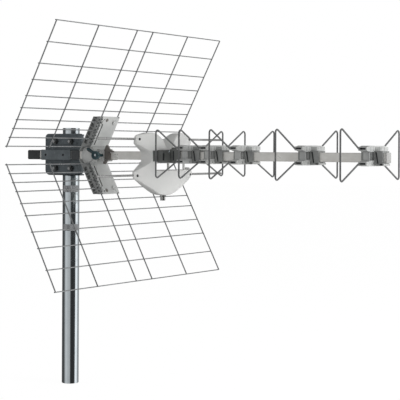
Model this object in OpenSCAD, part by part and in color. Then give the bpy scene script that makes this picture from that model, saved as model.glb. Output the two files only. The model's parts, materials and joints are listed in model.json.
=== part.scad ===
// Television aerial for the UHF band: a V shaped wire reflector, a moulded dipole
// and five bow-tie directors on a square boom, clamped to a round mast.
// Frame: origin at the centre of the mast's lower end, +Z up, +X forward along the boom.

/* [Mast] */
// Outside diameter of the mast tube
mast_d = 34; // [32:0.5:36]
// Wall of the mast tube
mast_wall = 1.5; // [1:0.25:2.5]
// Length of the mast tube
mast_len = 514; // [506:1:600]
// Height of the boom's axis over the mast's foot
boom_height = 460; // [440:1:466]
// Height of each cable clip on the mast
clip_h = 13; // [9:1:18]
// Drop from the boom's axis to the middle of the upper cable clip
clip_drop_upper = 68; // [60:1:90]
// Drop from the boom's axis to the middle of the lower cable clip
clip_drop_lower = 146; // [120:1:200]

/* [Boom] */
// Width and height of the square boom tube
boom_w = 16; // [14:0.5:17]
// Wall of the boom tube
boom_wall = 1.2; // [0.8:0.2:2]
// Outside corner radius of the boom tube
boom_corner = 1.5; // [0.5:0.25:2.5]
// Distance that the boom reaches behind the mast's axis
boom_rear = 80; // [80:1:110]
// Distance that the boom runs on past the last holder
boom_runout = 1; // [1:1:40]
// Length of the dark sleeve cap on the boom's rear end
rear_cap_len = 31; // [10:1:31]
// Wall of the plastic end caps
cap_wall = 1.2; // [0.8:0.2:2]

/* [Mast clamp] */
// Width of the clamp plate along the boom
plate_w = 96; // [86:1:110]
// Height of the clamp plate
plate_h = 82; // [76:1:100]
// Thickness of the clamp plate and its flanges
plate_t = 3; // [2:0.25:3.5]
// Corner radius of the clamp plate
plate_corner = 8; // [3:0.5:12]
// Depth of the side lips that face away from the mast
lip_depth = 11; // [6:0.5:14]
// Depth of the toothed jaws that hold the mast
jaw_depth = 14; // [10:0.5:16]
// Gap between the clamp plate and the mast
mast_gap = 3; // [2:0.25:5]
// Diameter of the clamp bow rod
bow_d = 6; // [5:0.5:7]
// Height of each clamp bow over and under the boom's axis
bow_rise = 27; // [24:0.5:30]
// Width across the flats of the clamp nuts
nut_af = 10; // [9:0.5:12]
// Height of the clamp nuts
nut_h = 5; // [4:0.5:7]
// Length of the boom sleeve on the clamp
sleeve_len = 78; // [60:1:80]
// Wall of the boom sleeve
sleeve_wall = 2.2; // [1.5:0.1:2.6]
// Diameter of the two set screws in the boom sleeve
set_screw_d = 5; // [4:0.5:6]
// Distance between the two set screws
set_screw_gap = 47; // [30:1:50]

// Length of the dark collar in front of the boom sleeve
collar_len = 21; // [12:1:30]
// Wall of the dark collar
collar_wall = 1.5; // [1:0.1:2]

/* [Reflector] */
// Width of each reflector panel across the boom
panel_w = 500; // [400:5:560]
// Length of each reflector panel up its slope
panel_len = 250; // [240:1:280]
// Lean of each panel away from upright, in degrees
panel_lean = 28.4; // [25:0.1:30]
// Place of the innermost cross wire in front of the mast's axis
panel_x = 93; // [90:0.5:110]
// Height of the innermost cross wire over the boom's axis
panel_rise = 16.6; // [16:0.1:18]
// Diameter of the cross wires
cross_d = 2; // [1.5:0.1:2.2]
// Diameter of the slope wires
slope_d = 2.5; // [2:0.1:2.6]
// Pitch of the three inner gaps between cross wires
pitch_a = 18; // [17:0.25:19]
// Pitch of the next two gaps
pitch_b = 24; // [21:0.25:26]
// Pitch of the two gaps after those
pitch_c = 32; // [28:0.25:34]
// Distance of the two middle slope wires from the boom's axis
slope_y_inner = 24; // [22:0.25:27]
// Distance of the next two slope wires from the boom's axis
slope_y_outer = 136; // [100:1:180]

/* [Reflector bracket] */
// Height of the bracket's outer ends over the boom's axis
bracket_top = 75; // [73:0.5:78]
// Thickness of the ribbed backs behind the wires
back_t = 12; // [9:0.5:14]
// Thickness of the smooth front plates
front_t = 3; // [2:0.25:4]
// Overhang of the ribbed backs past the middle slope wires
back_margin = 5; // [4:0.25:8]
// Pitch of the ribs in the side of the backs
rib_pitch = 9; // [7:0.5:12]
// Depth of the pockets between the ribs
pocket_depth = 5; // [2:0.5:8]
// Diameter of the round hub on the boom
hub_d = 36; // [34:0.5:38]
// Diameter of the hub's end caps
hub_cap_d = 27; // [22:0.5:27]
// Diameter of the clamp knob
knob_d = 17; // [14:0.5:20]
// Length of the clamp knob
knob_len = 11; // [8:0.5:14]

/* [Dipole] */
// Place of the dipole in front of the mast's axis
dipole_x = 257; // [250:1:262]
// Length of the two dipole rods
dipole_rod_len = 385; // [300:1:420]
// Diameter of the dipole rods
dipole_rod_d = 4; // [3:0.25:5]
// Height of the rods over and under the boom's axis
dipole_rise = 33.7; // [33:0.1:35]
// Greatest thickness of the dipole housing along the boom
housing_t = 26; // [22:0.5:28]
// Distance of the housing's four horn tips from the boom's axis
horn_y = 80; // [76:0.5:84]
// Radius of the horn tips
horn_r = 9; // [7:0.25:10]
// Distance of the housing's lowest point under the boom's axis
housing_drop = 74; // [70:0.5:80]
// Radius of the upper lobes
lobe_r = 45; // [42:0.5:48]
// Distance of the lobes' centres from the boom's axis
lobe_y = 56; // [53:0.5:58]
// Length of the saddle that holds the housing on the boom
saddle_len = 34; // [24:1:35]

/* [Directors] */
// Place of the first director in front of the mast's axis
director_x = 321; // [321:1:330]
// Gap from the first to the second director
director_gap_1 = 51; // [46:1:80]
// Gap from the second to the third director
director_gap_2 = 65; // [46:1:100]
// Gap from the third to the fourth director
director_gap_3 = 134; // [60:1:160]
// Gap from the fourth to the fifth director
director_gap_4 = 122; // [60:1:160]
// Width of the wire bow ties
bow_tie_w = 209; // [160:1:230]
// Height of the wire bow ties at their ends
bow_tie_h = 86; // [70:1:100]
// Height of the bow ties' middle over the boom's axis
bow_tie_rise = 3.7; // [2:0.1:5]
// Diameter of the bow-tie wire
bow_tie_d = 3; // [2.4:0.1:3.2]
// Radius of the bow ties' outer corners
bow_tie_corner = 8; // [5:0.5:12]
// Height of the upper waist wire over the boom's axis
waist_up = 15; // [14:0.25:15.5]
// Depth of the lower waist wire under the boom's axis
waist_down = 9.9; // [9.75:0.05:10.2]
// Length of the director holders across the boom
holder_len = 78; // [70:1:84]
// Thickness of the holders' cross bar along the boom
holder_bar_t = 16; // [14:0.5:18]
// Height of the holders over the boom's axis
holder_top = 20; // [19.5:0.25:22]
// Depth of the holders under the boom's axis
holder_bottom = 14; // [13.5:0.25:16]
// Length of the holders' sleeve behind the wire
holder_rear = 12; // [8:0.5:12]
// Length of the holders' sleeve in front of the wire
holder_front = 30; // [22:0.5:30]

/* [Hidden] */

// Curves
$fn = 48;

// Fits
fit = 0.2;
eps = 0.01;

// Places worked out from the sizes above
boom_y = -(mast_d / 2 + mast_gap + plate_t + boom_w / 2);
plate_back_y = -(mast_d / 2 + mast_gap);
plate_front_y = plate_back_y - plate_t;
director_places = [director_x,
    director_x + director_gap_1,
    director_x + director_gap_1 + director_gap_2,
    director_x + director_gap_1 + director_gap_2 + director_gap_3,
    director_x + director_gap_1 + director_gap_2 + director_gap_3 + director_gap_4];
boom_end = director_places[4] + holder_front + boom_runout;
outer_pitch = (panel_len - 3 * pitch_a - 2 * pitch_b - 2 * pitch_c) / 2;
cross_places = [0, pitch_a, 2 * pitch_a, 3 * pitch_a,
    3 * pitch_a + pitch_b, 3 * pitch_a + 2 * pitch_b,
    3 * pitch_a + 2 * pitch_b + pitch_c, 3 * pitch_a + 2 * pitch_b + 2 * pitch_c,
    panel_len - outer_pitch, panel_len];
weld_sink = 0.4;
slope_lift = (cross_d + slope_d) / 2 - weld_sink;
slope_y = [-panel_w / 2 + slope_d / 2, -slope_y_outer, -slope_y_inner,
    slope_y_inner, slope_y_outer, panel_w / 2 - slope_d / 2];
inner_crosses = 4;

// Moves a shape from the boom's own frame, whose origin is on the boom's axis over the mast
module at_boom() { translate([0, boom_y, boom_height]) children(); }

// Extrudes an outline drawn in Y and Z forward along X
module along_x(from, to) {
    translate([from, 0, 0]) rotate([90, 0, 90]) linear_extrude(to - from) children();
}

// Extrudes an outline drawn in X and Z across the boom, along Y
module along_y(from, to) {
    translate([0, to, 0]) rotate([90, 0, 0]) linear_extrude(to - from) children();
}

// Box given by its two opposite corners
module block(a, b) { translate(a) cube(b - a); }

// Rectangle with round corners, centred
module round_rect(w, h, r) {
    square([w - 2 * r, h], center = true);
    square([w, h - 2 * r], center = true);
    for (x = [-1, 1], y = [-1, 1]) translate([x * (w / 2 - r), y * (h / 2 - r)]) circle(r);
}

// Rod along Y
module rod_y(from, to, d) { translate([0, from, 0]) rotate([-90, 0, 0]) cylinder(d = d, h = to - from); }

// Straight round wire between two points
module wire(a, b, d) {
    run = b - a;
    translate(a) rotate([0, acos(run.z / norm(run)), atan2(run.y, run.x)])
        cylinder(d = d, h = norm(run));
}

// Closed wire loop in the plane of Y and Z: each point is [y, z, bend radius]
function unit2(v) = v / norm(v);
function bend_turn(p, q, s) = acos(unit2([q.x - p.x, q.y - p.y]) * unit2([s.x - q.x, s.y - q.y]));
function bend_cut(p, q, s) = q.z * tan(bend_turn(p, q, s) / 2);
joint_gap = 0.05;
module wire_loop(points, d) {
    n = len(points);
    for (i = [0 : n - 1]) {
        p = points[(i + n - 1) % n];
        q = points[i];
        s = points[(i + 1) % n];
        t = points[(i + 2) % n];
        into = unit2([q.x - p.x, q.y - p.y]);
        out = unit2([s.x - q.x, s.y - q.y]);
        turn = bend_turn(p, q, s);
        side = sign(into.x * out.y - into.y * out.x);
        start = [q.x, q.y] - into * bend_cut(p, q, s);
        centre = start + side * q.z * [-into.y, into.x];
        leave = [q.x, q.y] + out * bend_cut(p, q, s);
        arrive = [s.x, s.y] - out * bend_cut(q, s, t);
        first = atan2(start.y - centre.y, start.x - centre.x);
        rotate([90, 0, 90]) translate([centre.x, centre.y, 0])
            rotate([0, 0, side > 0 ? first : first - turn])
                rotate_extrude(angle = turn) translate([q.z, 0]) circle(d / 2);
        // A ball hardly wider than the wire joins each bend to the straight beside it
        for (joint = [start, leave]) translate([0, joint.x, joint.y]) sphere(d = d * 1.02);
        wire([0, leave.x + joint_gap * out.x, leave.y + joint_gap * out.y],
            [0, arrive.x - joint_gap * out.x, arrive.y - joint_gap * out.y], d);
    }
}

// Mast

module mast_tube() {
    color("#b9c0c2") difference() {
        cylinder(d = mast_d, h = mast_len, $fn = 96);
        translate([0, 0, -1]) cylinder(d = mast_d - 2 * mast_wall, h = mast_len + 2, $fn = 96);
    }
}

// Cable clip: a band part of the way round the mast and a small saddle for a cable
clip_band_t = 1.6;
clip_foot_w = 12;
clip_foot_t = 5;
clip_facing = -62;
module mast_clip(drop) {
    r = mast_d / 2;
    color("#a7abad") translate([0, 0, boom_height - drop]) rotate([0, 0, clip_facing]) difference() {
        union() {
            translate([0, 0, -clip_h / 2]) rotate([0, 0, -75])
                rotate_extrude(angle = 150) translate([r, 0]) square([clip_band_t, clip_h]);
            block([r + clip_band_t / 2, -clip_foot_w / 2, -clip_h / 2],
                [r + clip_band_t + clip_foot_t, clip_foot_w / 2, clip_h / 2]);
        }
        translate([r + clip_band_t + clip_foot_t, 0, -clip_h]) cylinder(d = 7, h = 2 * clip_h);
    }
}
module mast_clip_upper() { mast_clip(clip_drop_upper); }
module mast_clip_lower() { mast_clip(clip_drop_lower); }

// Mast clamp

bow_x = mast_d / 2 + bow_d / 2 + 0.5;
bow_hole_d = bow_d + 1;
jaw_tooth = 2;

// Half outline of a toothed jaw: a flange with a stepped V that meets the mast
module jaw_outline() {
    half = plate_w / 2 - plate_corner;
    difference() {
        translate([-half, 0]) square([2 * half, jaw_depth]);
        translate([0, -plate_back_y]) circle(mast_d / 2 + fit);
        for (k = [0 : 3]) translate([0, mast_gap + 1 + k * 3])
            square([2 * (7 + k * 3.4), 2 * jaw_tooth], center = true);
    }
}

module clamp_plate() {
    color("#4a5357") translate([0, 0, boom_height]) difference() {
        union() {
            translate([0, plate_back_y, 0]) rotate([90, 0, 0])
                linear_extrude(plate_t) round_rect(plate_w, plate_h, plate_corner);
            for (s = [-1, 1]) {
                block([s * (plate_w / 2 - plate_t / 2) - plate_t / 2, plate_front_y - lip_depth,
                    -plate_h / 2 + plate_corner],
                    [s * (plate_w / 2 - plate_t / 2) + plate_t / 2, plate_back_y, plate_h / 2 - plate_corner]);
                translate([0, plate_back_y - eps, s * (plate_h / 2 - plate_t / 2) - plate_t / 2])
                    linear_extrude(plate_t) jaw_outline();
            }
        }
        // Windows in the side lips for the boom sleeve
        block([-plate_w, plate_front_y - lip_depth - 1, -sleeve_h / 2 - fit],
            [plate_w, plate_front_y, sleeve_h / 2 + fit]);
        // Holes for the clamp bows and a slot beside each
        for (s = [-1, 1], z = [-1, 1])
            translate([s * bow_x, plate_front_y - 1, z * bow_rise]) rod_y(0, plate_t + 2, bow_hole_d);
        for (z = [-1, 1]) translate([-z * bow_x * 0.45, plate_front_y - 1, z * bow_rise])
            rod_y(0, plate_t + 2, bow_hole_d * 0.8);
    }
}

// Clamp bow: a rod bent round the back of the mast, with both legs through the plate
module clamp_bow(z) {
    leg_end = plate_front_y - nut_h - 3;
    color("#8d9496") translate([0, 0, boom_height + z]) {
        rotate_extrude(angle = 180) translate([bow_x, 0]) circle(bow_d / 2);
        for (s = [-1, 1]) translate([s * bow_x, 0, 0]) rod_y(leg_end, 0, bow_d);
    }
}
module clamp_bow_upper() { clamp_bow(bow_rise); }
module clamp_bow_lower() { clamp_bow(-bow_rise); }

module clamp_nuts() {
    color("#9aa1a3") translate([0, 0, boom_height]) for (s = [-1, 1], z = [-1, 1])
        translate([s * bow_x, plate_front_y, z * bow_rise]) rotate([90, 0, 0]) difference() {
            union() {
                cylinder(d = nut_af / cos(30), h = nut_h, $fn = 6);
                cylinder(d = nut_af + 2.5, h = 1, $fn = 48);
            }
            translate([0, 0, -1]) cylinder(d = bow_d + 2 * eps, h = nut_h + 2);
        }
}

// Square channel round three sides of the boom, flush with the boom where it meets the clamp plate
module boom_channel(from, to, wall) {
    height = boom_w + 2 * fit + 2 * wall;
    difference() {
        along_x(from, to) difference() {
            translate([-wall / 2, 0]) round_rect(height - wall, height, min(2, wall + fit));
            square(boom_w + 2 * fit, center = true);
        }
        block([from - 1, boom_w / 2, -height], [to + 1, height, height]);
    }
}

// Square sleeve that carries the boom on the clamp
sleeve_h = boom_w + 2 * sleeve_wall + 2 * fit;
sleeve_x = -44;
module boom_sleeve() {
    color("#565e63") at_boom() difference() {
        boom_channel(sleeve_x, sleeve_x + sleeve_len, sleeve_wall);
        for (x = set_screw_places) translate([x, 0, 0]) rod_y(-sleeve_h, 0, set_screw_d);
    }
}

// Narrower dark collar in front of the sleeve
collar_gap = 2;
module boom_collar() {
    from = sleeve_x + sleeve_len + collar_gap;
    color("#43484a") at_boom() boom_channel(from, from + collar_len, collar_wall);
}
set_screw_places = [sleeve_x + 12, sleeve_x + 12 + set_screw_gap];

// Socket set screws that bear on the boom
module set_screws() {
    color("#2c3033") at_boom() for (x = set_screw_places) translate([x, 0, 0]) difference() {
        rod_y(-sleeve_h / 2 + 0.6, -boom_w / 2, set_screw_d);
        translate([0, -sleeve_h / 2, 0]) rotate([-90, 30, 0])
            cylinder(d = set_screw_d * 0.55, h = sleeve_wall, $fn = 6);
    }
}

// Boom

module boom_tube() {
    color("#c4c2bd") at_boom() along_x(-boom_rear, boom_end) difference() {
        round_rect(boom_w, boom_w, boom_corner);
        round_rect(boom_w - 2 * boom_wall, boom_w - 2 * boom_wall, boom_corner / 3);
    }
}

// Long dark cap pushed over the rear end
module boom_rear_cap() {
    outside = boom_w + 2 * fit + 2 * cap_wall;
    color("#3d3f40") at_boom() {
        along_x(-boom_rear, -boom_rear + rear_cap_len) difference() {
            round_rect(outside, outside, boom_corner + cap_wall);
            round_rect(boom_w + 2 * fit, boom_w + 2 * fit, boom_corner);
        }
        along_x(-boom_rear - cap_wall, -boom_rear) round_rect(outside, outside, boom_corner + cap_wall);
    }
}

// Plug with a flat head in the front end
module boom_front_cap() {
    inside = boom_w - 2 * boom_wall - 2 * fit;
    color("#b5b5b3") at_boom() {
        along_x(boom_end, boom_end + cap_wall + 1) round_rect(boom_w + 1, boom_w + 1, boom_corner);
        along_x(boom_end - 10, boom_end) difference() {
            square(inside, center = true);
            square(inside - 2 * cap_wall, center = true);
        }
    }
}

// Reflector

// Frame of a panel: X is the distance in front of it, Z runs up its slope
module on_panel(side) {
    translate([panel_x, 0, 0]) mirror([0, 0, side > 0 ? 0 : 1])
        translate([0, 0, panel_rise]) rotate([0, panel_lean, 0]) children();
}

module reflector(side) {
    color("#9b9d9e") at_boom() on_panel(side) {
        for (s = cross_places) translate([0, 0, s]) rod_y(-panel_w / 2, panel_w / 2, cross_d);
        for (y = slope_y) translate([slope_lift, y, -cross_d / 2])
            cylinder(d = slope_d, h = panel_len + cross_d);
    }
}
module reflector_upper() { reflector(1); }
module reflector_lower() { reflector(-1); }

// Reflector bracket

back_half_w = slope_y_inner + back_margin;
groove_d = slope_d + 2 * fit;
channel_d = cross_d + 2 * fit;
front_half_w = slope_y_inner - groove_d / 2 - 0.6;
hub_len = 2 * (slope_y_inner - groove_d / 2 - fit);
hub_x = panel_x - 1;

// Room for the inner wires of one panel
module inner_wire_room(side) {
    on_panel(side) {
        for (i = [0 : inner_crosses - 1]) translate([0, 0, cross_places[i]])
            rod_y(-back_half_w - 1, back_half_w + 1, channel_d);
        for (i = [0 : inner_crosses - 1]) block([0, -back_half_w - 1, cross_places[i] - channel_d / 2],
            [slope_lift + slope_d, back_half_w + 1, cross_places[i] + channel_d / 2]);
        for (y = [-slope_y_inner, slope_y_inner])
            block([slope_lift - groove_d / 2, y - groove_d / 2, -2 * slope_d],
                [slope_lift + slope_d, y + groove_d / 2, panel_len]);
    }
}

// Keeps what lies between the hub and the level top of a bracket half
module bracket_limits(side) {
    intersection() {
        children();
        mirror([0, 0, side > 0 ? 0 : 1])
            block([panel_x - 60, -back_half_w, 0], [panel_x + 90, back_half_w, bracket_top]);
    }
}

// Ribbed back of one half: a deep rail with pockets in both sides and a lip along each wire
module bracket_back(side) {
    rail_len = (bracket_top - panel_rise) / cos(panel_lean) + back_t;
    color("#b2b4b2") at_boom() difference() {
        bracket_limits(side) on_panel(side) difference() {
            block([-cross_d / 2 - back_t, -back_half_w, -panel_rise],
                [slope_lift + slope_d / 2, back_half_w, rail_len]);
            // The shallow bed between the two wires, where the front plate lies
            block([cross_d / 2 + fit, -slope_y_inner, -panel_rise - 1],
                [slope_d + back_t, slope_y_inner, rail_len + 1]);
            // Pockets between the ribs
            for (k = [0 : 6], s = [-1, 1])
                block([-back_t + 1.5, s > 0 ? back_half_w - pocket_depth : -back_half_w - 1,
                    4 + k * rib_pitch],
                    [-cross_d - 1, s > 0 ? back_half_w + 1 : -back_half_w + pocket_depth,
                    4 + (k + 1) * rib_pitch - 1.6]);
            // Hollow from behind
            block([-back_t - cross_d, -slope_y_inner + 4, 2],
                [-cross_d - 2.5, slope_y_inner - 4, rail_len - 22]);
        }
        inner_wire_room(side);
        translate([hub_x, 0, 0]) rod_y(-back_half_w - 1, back_half_w + 1, hub_d + 2 * fit);
    }
}
module bracket_back_upper() { bracket_back(1); }
module bracket_back_lower() { bracket_back(-1); }

// Smooth front plate with two screw lugs at its outer end
lug_d = 9;
module bracket_front(side) {
    color("#d0d0ce") at_boom() difference() {
        bracket_limits(side) on_panel(side) union() {
            block([cross_d / 2 + fit, -front_half_w, -panel_rise],
                [cross_d / 2 + fit + front_t, front_half_w, 2 * bracket_top]);
            for (s = [-1, 1]) translate([cross_d / 2 + fit, s * (front_half_w - lug_d / 2 - 1), 57])
                rotate([0, 90, 0]) cylinder(d = lug_d, h = front_t + 3);
        }
        translate([hub_x, 0, 0]) rod_y(-back_half_w - 1, back_half_w + 1, hub_d + 2 * fit);
    }
}
module bracket_front_upper() { bracket_front(1); }
module bracket_front_lower() { bracket_front(-1); }

// Round hub on the boom, with a nose that carries the clamp screw
nose_end = panel_x + 30;
nose_h = boom_w + 8;
screw_x = panel_x + 20;
screw_d = 6;
lever_d = 4.5;
hub_cap_t = 4;
lever_y = -(hub_len / 2 + hub_cap_t + lever_d / 2 + 2 * fit);
boss_y = lever_y + lever_d / 2 + 2 * fit;
module bracket_hub() {
    color("#b8bab7") at_boom() difference() {
        union() {
            translate([hub_x, 0, 0]) rod_y(-hub_len / 2, hub_len / 2, hub_d);
            along_x(hub_x, nose_end) round_rect(nose_h + 4, nose_h, 3);
            translate([screw_x, 0, 0]) rod_y(boss_y, 0, screw_d + 8);
        }
        along_x(hub_x - hub_d, nose_end + 1) square(boom_w + 2 * fit, center = true);
        for (side = [-1, 1]) on_panel(side) rod_y(-back_half_w, back_half_w, channel_d);
        translate([screw_x, 0, 0]) rod_y(boss_y - 1, 0, screw_d);
    }
}

// Low domed caps over the hub's two ends
module hub_cap(side) {
    sphere_r = (hub_cap_d * hub_cap_d / 4 + hub_cap_t * hub_cap_t) / (2 * hub_cap_t) + 12;
    color("#c3c5c2") at_boom() translate([hub_x, side * (hub_len / 2), 0])
        rotate([side > 0 ? -90 : 90, 0, 0]) intersection() {
            cylinder(d = hub_cap_d, h = hub_cap_t);
            translate([0, 0, hub_cap_t - sphere_r]) sphere(sphere_r, $fn = 96);
        }
}
module hub_cap_left() { hub_cap(1); }
module hub_cap_right() { hub_cap(-1); }

// Clamp screw: shank, collar and round knob
knob_y = lever_y - lever_d / 2 - 2 * fit;
module clamp_screw() {
    color("#2f4144") at_boom() translate([screw_x, 0, 0]) {
        rod_y(knob_y, -boom_w / 2 - fit, screw_d - fit);
        difference() {
            translate([0, knob_y - knob_len, 0]) rod_y(0, knob_len, knob_d);
            for (a = [0 : 60 : 300]) rotate([0, a, 0])
                translate([knob_d / 2 + 1, knob_y - knob_len - 1, 0]) rod_y(0, knob_len + 2, 5);
        }
    }
}

// Bent lever held under the knob
module clamp_lever() {
    a = [screw_x - 22, lever_y - 4, 15];
    b = [screw_x - 15, lever_y, 6];
    c = [screw_x, lever_y, 0];
    color("#22363a") at_boom() difference() {
        union() {
            wire(a, b, lever_d);
            wire(b, c, lever_d);
            translate(a) sphere(d = lever_d + 1.5);
            translate(b) sphere(d = lever_d * 1.04);
            translate(c) rod_y(-lever_d / 2 - fit, lever_d / 2 + fit, screw_d + 6);
        }
        translate(c) rod_y(-lever_d, lever_d, screw_d);
    }
}

// Spring latch that straddles the boom in front of the bracket
latch_x = nose_end + 1;
latch_len = 20;
module boom_latch() {
    color("#6b6663") at_boom() difference() {
        union() {
            along_x(latch_x, latch_x + latch_len) round_rect(boom_w + 7, boom_w + 6, 2);
            for (s = [1, -1]) mirror([0, 0, s > 0 ? 0 : 1]) along_y(-9, -5)
                polygon([[latch_x, boom_w / 2], [latch_x + latch_len, boom_w / 2],
                    [latch_x + 11, boom_w / 2 + (s > 0 ? 15 : 9)], [latch_x + 7, boom_w / 2 + 8]]);
        }
        along_x(latch_x - 1, latch_x + latch_len + 1) square(boom_w + 2 * fit, center = true);
    }
}

// Dipole

bowl_r = (horn_y * horn_y + pow(housing_drop - dipole_rise - horn_r / 2, 2))
    / (2 * (housing_drop - dipole_rise - horn_r / 2)) * 1.12;
near_waist = 50;
far_waist = 60;
bite_r = 36;
gap_top = -boom_w / 2 - 5;
gap_bottom = -28;
gap_near = 36;
gap_far = 50;
strut_t = 2.4;

// Outline of the housing seen along the boom: four horns, two round lobes and a deep bowl
module housing_outline() {
    difference() {
        union() {
            for (s = [-1, 1]) {
                translate([s * lobe_y, -2]) circle(lobe_r);
                for (z = [-1, 1]) translate([s * horn_y, z * dipole_rise]) circle(horn_r);
            }
            intersection() {
                translate([0, bowl_r - housing_drop]) circle(bowl_r, $fn = 96);
                translate([-horn_y - horn_r / 2, -housing_drop])
                    square([2 * horn_y + horn_r, housing_drop]);
            }
            translate([-lobe_y, -20]) square([2 * lobe_y, 34]);
        }
        translate([-near_waist - bite_r, 0]) circle(bite_r);
        translate([far_waist + bite_r, 0]) circle(bite_r);
        // Two open gaps between the boom and the bowl, with a thin strut between them
        translate([-gap_near, gap_bottom]) square([gap_near - strut_t / 2, gap_top - gap_bottom]);
        translate([strut_t / 2, gap_bottom]) square([gap_far - strut_t / 2, gap_top - gap_bottom]);
    }
}

module dipole_housing() {
    reach = 85;
    lens_r = (reach * reach + housing_t * housing_t / 4) / housing_t;
    color("#d6d6d4") at_boom() difference() {
        intersection() {
            along_x(dipole_x - housing_t / 2, dipole_x + housing_t / 2) housing_outline();
            along_y(-horn_y - horn_r, horn_y + horn_r) intersection() {
                translate([dipole_x - lens_r + housing_t / 2, -16]) circle(lens_r, $fn = 180);
                translate([dipole_x + lens_r - housing_t / 2, -16]) circle(lens_r, $fn = 180);
            }
        }
        along_x(dipole_x - housing_t, dipole_x + housing_t) square(boom_w + 2 * fit, center = true);
        for (z = [-1, 1]) translate([dipole_x, 0, z * dipole_rise])
            rod_y(-horn_y - 20, horn_y + 20, dipole_rod_d + fit);
        // Seat of the coax socket
        translate([dipole_x, 0, -housing_drop - 1]) cylinder(d = socket_d, h = socket_seat + 1);
    }
}
socket_d = 11;
socket_seat = 12;

// Saddle sleeve that grips the boom in front of the housing
module dipole_saddle() {
    from = dipole_x + housing_t / 2 + fit;
    color("#6f716f") at_boom() difference() {
        union() {
            along_x(from, from + saddle_len) round_rect(boom_w + 10, boom_w + 10, 3);
            along_x(from, from + 8) translate([0, 2]) round_rect(boom_w + 18, boom_w + 14, 5);
        }
        along_x(from - 1, from + saddle_len + 1) square(boom_w + 2 * fit, center = true);
        translate([from + saddle_len - 12, -boom_w, -6]) cube([2, boom_w, 14]);
        translate([from + saddle_len - 7, 0, 7]) rod_y(-boom_w, 0, 4);
    }
}

module dipole_rod(z) {
    color("#b4b4b2") at_boom() translate([dipole_x, 0, z])
        rod_y(-dipole_rod_len / 2, dipole_rod_len / 2, dipole_rod_d);
}
module dipole_rod_upper() { dipole_rod(dipole_rise); }
module dipole_rod_lower() { dipole_rod(-dipole_rise); }

// Threaded coax socket in the bottom of the housing
module coax_socket() {
    color("#a9a59a") at_boom() translate([dipole_x, 0, -housing_drop + socket_seat]) mirror([0, 0, 1])
        difference() {
            union() {
                cylinder(d = socket_d - fit, h = socket_seat);
                cylinder(d = 9.5, h = socket_seat + 10);
                translate([0, 0, socket_seat]) cylinder(d = 11 / cos(30), h = 2.5, $fn = 6);
            }
            translate([0, 0, socket_seat]) cylinder(d = 4.5, h = 11);
        }
}

// Directors

waist_half = holder_len / 2 + 4;
waist_bend = 5;
bar_y = bow_tie_w / 2 - bow_tie_d / 2;

// Height at which a leg from the waist, drawn past its outer bend, meets the end bar's line,
// so that the bend itself just reaches the bow tie's full height
function corner_z(waist_z, reach) =
    let (dy = bar_y - bow_tie_corner - waist_half,
        dz = reach - bow_tie_d / 2 - bow_tie_corner - waist_z,
        slope = atan2(dz, dy) + asin(bow_tie_corner / norm([dy, dz])))
    waist_z + (bar_y - waist_half) * tan(slope);

module bow_tie(i) {
    top = corner_z(waist_up, bow_tie_rise + bow_tie_h / 2);
    bottom = -corner_z(waist_down, bow_tie_h / 2 - bow_tie_rise);
    color("#8f9191") at_boom() translate([director_places[i], 0, 0])
        wire_loop([[-bar_y, bottom, bow_tie_corner], [-waist_half, -waist_down, waist_bend],
            [waist_half, -waist_down, waist_bend], [bar_y, bottom, bow_tie_corner],
            [bar_y, top, bow_tie_corner], [waist_half, waist_up, waist_bend],
            [-waist_half, waist_up, waist_bend], [-bar_y, top, bow_tie_corner]], bow_tie_d);
}
module director_1() { bow_tie(0); }
module director_2() { bow_tie(1); }
module director_3() { bow_tie(2); }
module director_4() { bow_tie(3); }
module director_5() { bow_tie(4); }

// Holder: a cross bar with a fork at each end, and a sleeve on the boom
bar_back = -3.5;
bar_front = bar_back + holder_bar_t;
fork_len = 21;
fork_top = 9.5;
fork_bottom = -4.5;
sleeve_half = boom_w / 2 + 4;
screw_head_d = 6;
module holder(i) {
    color("#c9cbca") at_boom() translate([director_places[i], 0, 0]) difference() {
        union() {
            along_y(-holder_len / 2, holder_len / 2) translate([(bar_back + bar_front) / 2,
                (holder_top - holder_bottom) / 2])
                round_rect(holder_bar_t, holder_top + holder_bottom, 2.5);
            along_x(-holder_rear, holder_front) translate([0, -1])
                round_rect(2 * sleeve_half, 2 * sleeve_half - 1, 3);
        }
        // The fork's throat at each end
        for (s = [-1, 1]) translate([0, s * holder_len / 2, 0])
            along_y(-fork_len, fork_len) translate([(bar_back + bar_front) / 2,
                (fork_top + fork_bottom) / 2]) square([holder_bar_t + 1, fork_top - fork_bottom], center = true);
        // Bores and mouths for the waist wires
        for (z = [waist_up, -waist_down]) translate([0, 0, z]) {
            rod_y(-holder_len, holder_len, bow_tie_d + fit);
            for (s = [-1, 1]) block([-bow_tie_d / 2, s > 0 ? holder_len / 2 - 17 : -holder_len / 2 - 1,
                -bow_tie_d / 2], [8.5, s > 0 ? holder_len / 2 + 1 : -holder_len / 2 + 17, bow_tie_d / 2]);
        }
        along_x(-holder_rear - 1, holder_front + 1) square(boom_w + 2 * fit, center = true);
        // Window over the boom
        block([2.5, -8, sleeve_half - 1], [bar_front + 1, 8, holder_top - 2]);
        // Slanted slot in the sleeve's side
        translate([holder_front - 10, -sleeve_half - 1, 0]) rotate([0, -9, 0])
            translate([-0.9, 0, -8]) cube([1.8, sleeve_half, 15]);
        translate([holder_front - 4, 0, 0]) rod_y(0, 2 * sleeve_half, 3.2);
    }
}
module holder_1() { holder(0); }
module holder_2() { holder(1); }
module holder_3() { holder(2); }
module holder_4() { holder(3); }
module holder_5() { holder(4); }

// Self tapping screws that lock the holders from the far side
module holder_screws() {
    color("#8a8c8d") at_boom() for (x = director_places) translate([x + holder_front - 4, 0, 0]) {
        rod_y(boom_w / 2 + fit, sleeve_half, 3);
        rod_y(sleeve_half, sleeve_half + 2.4, screw_head_d);
    }
}

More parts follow.
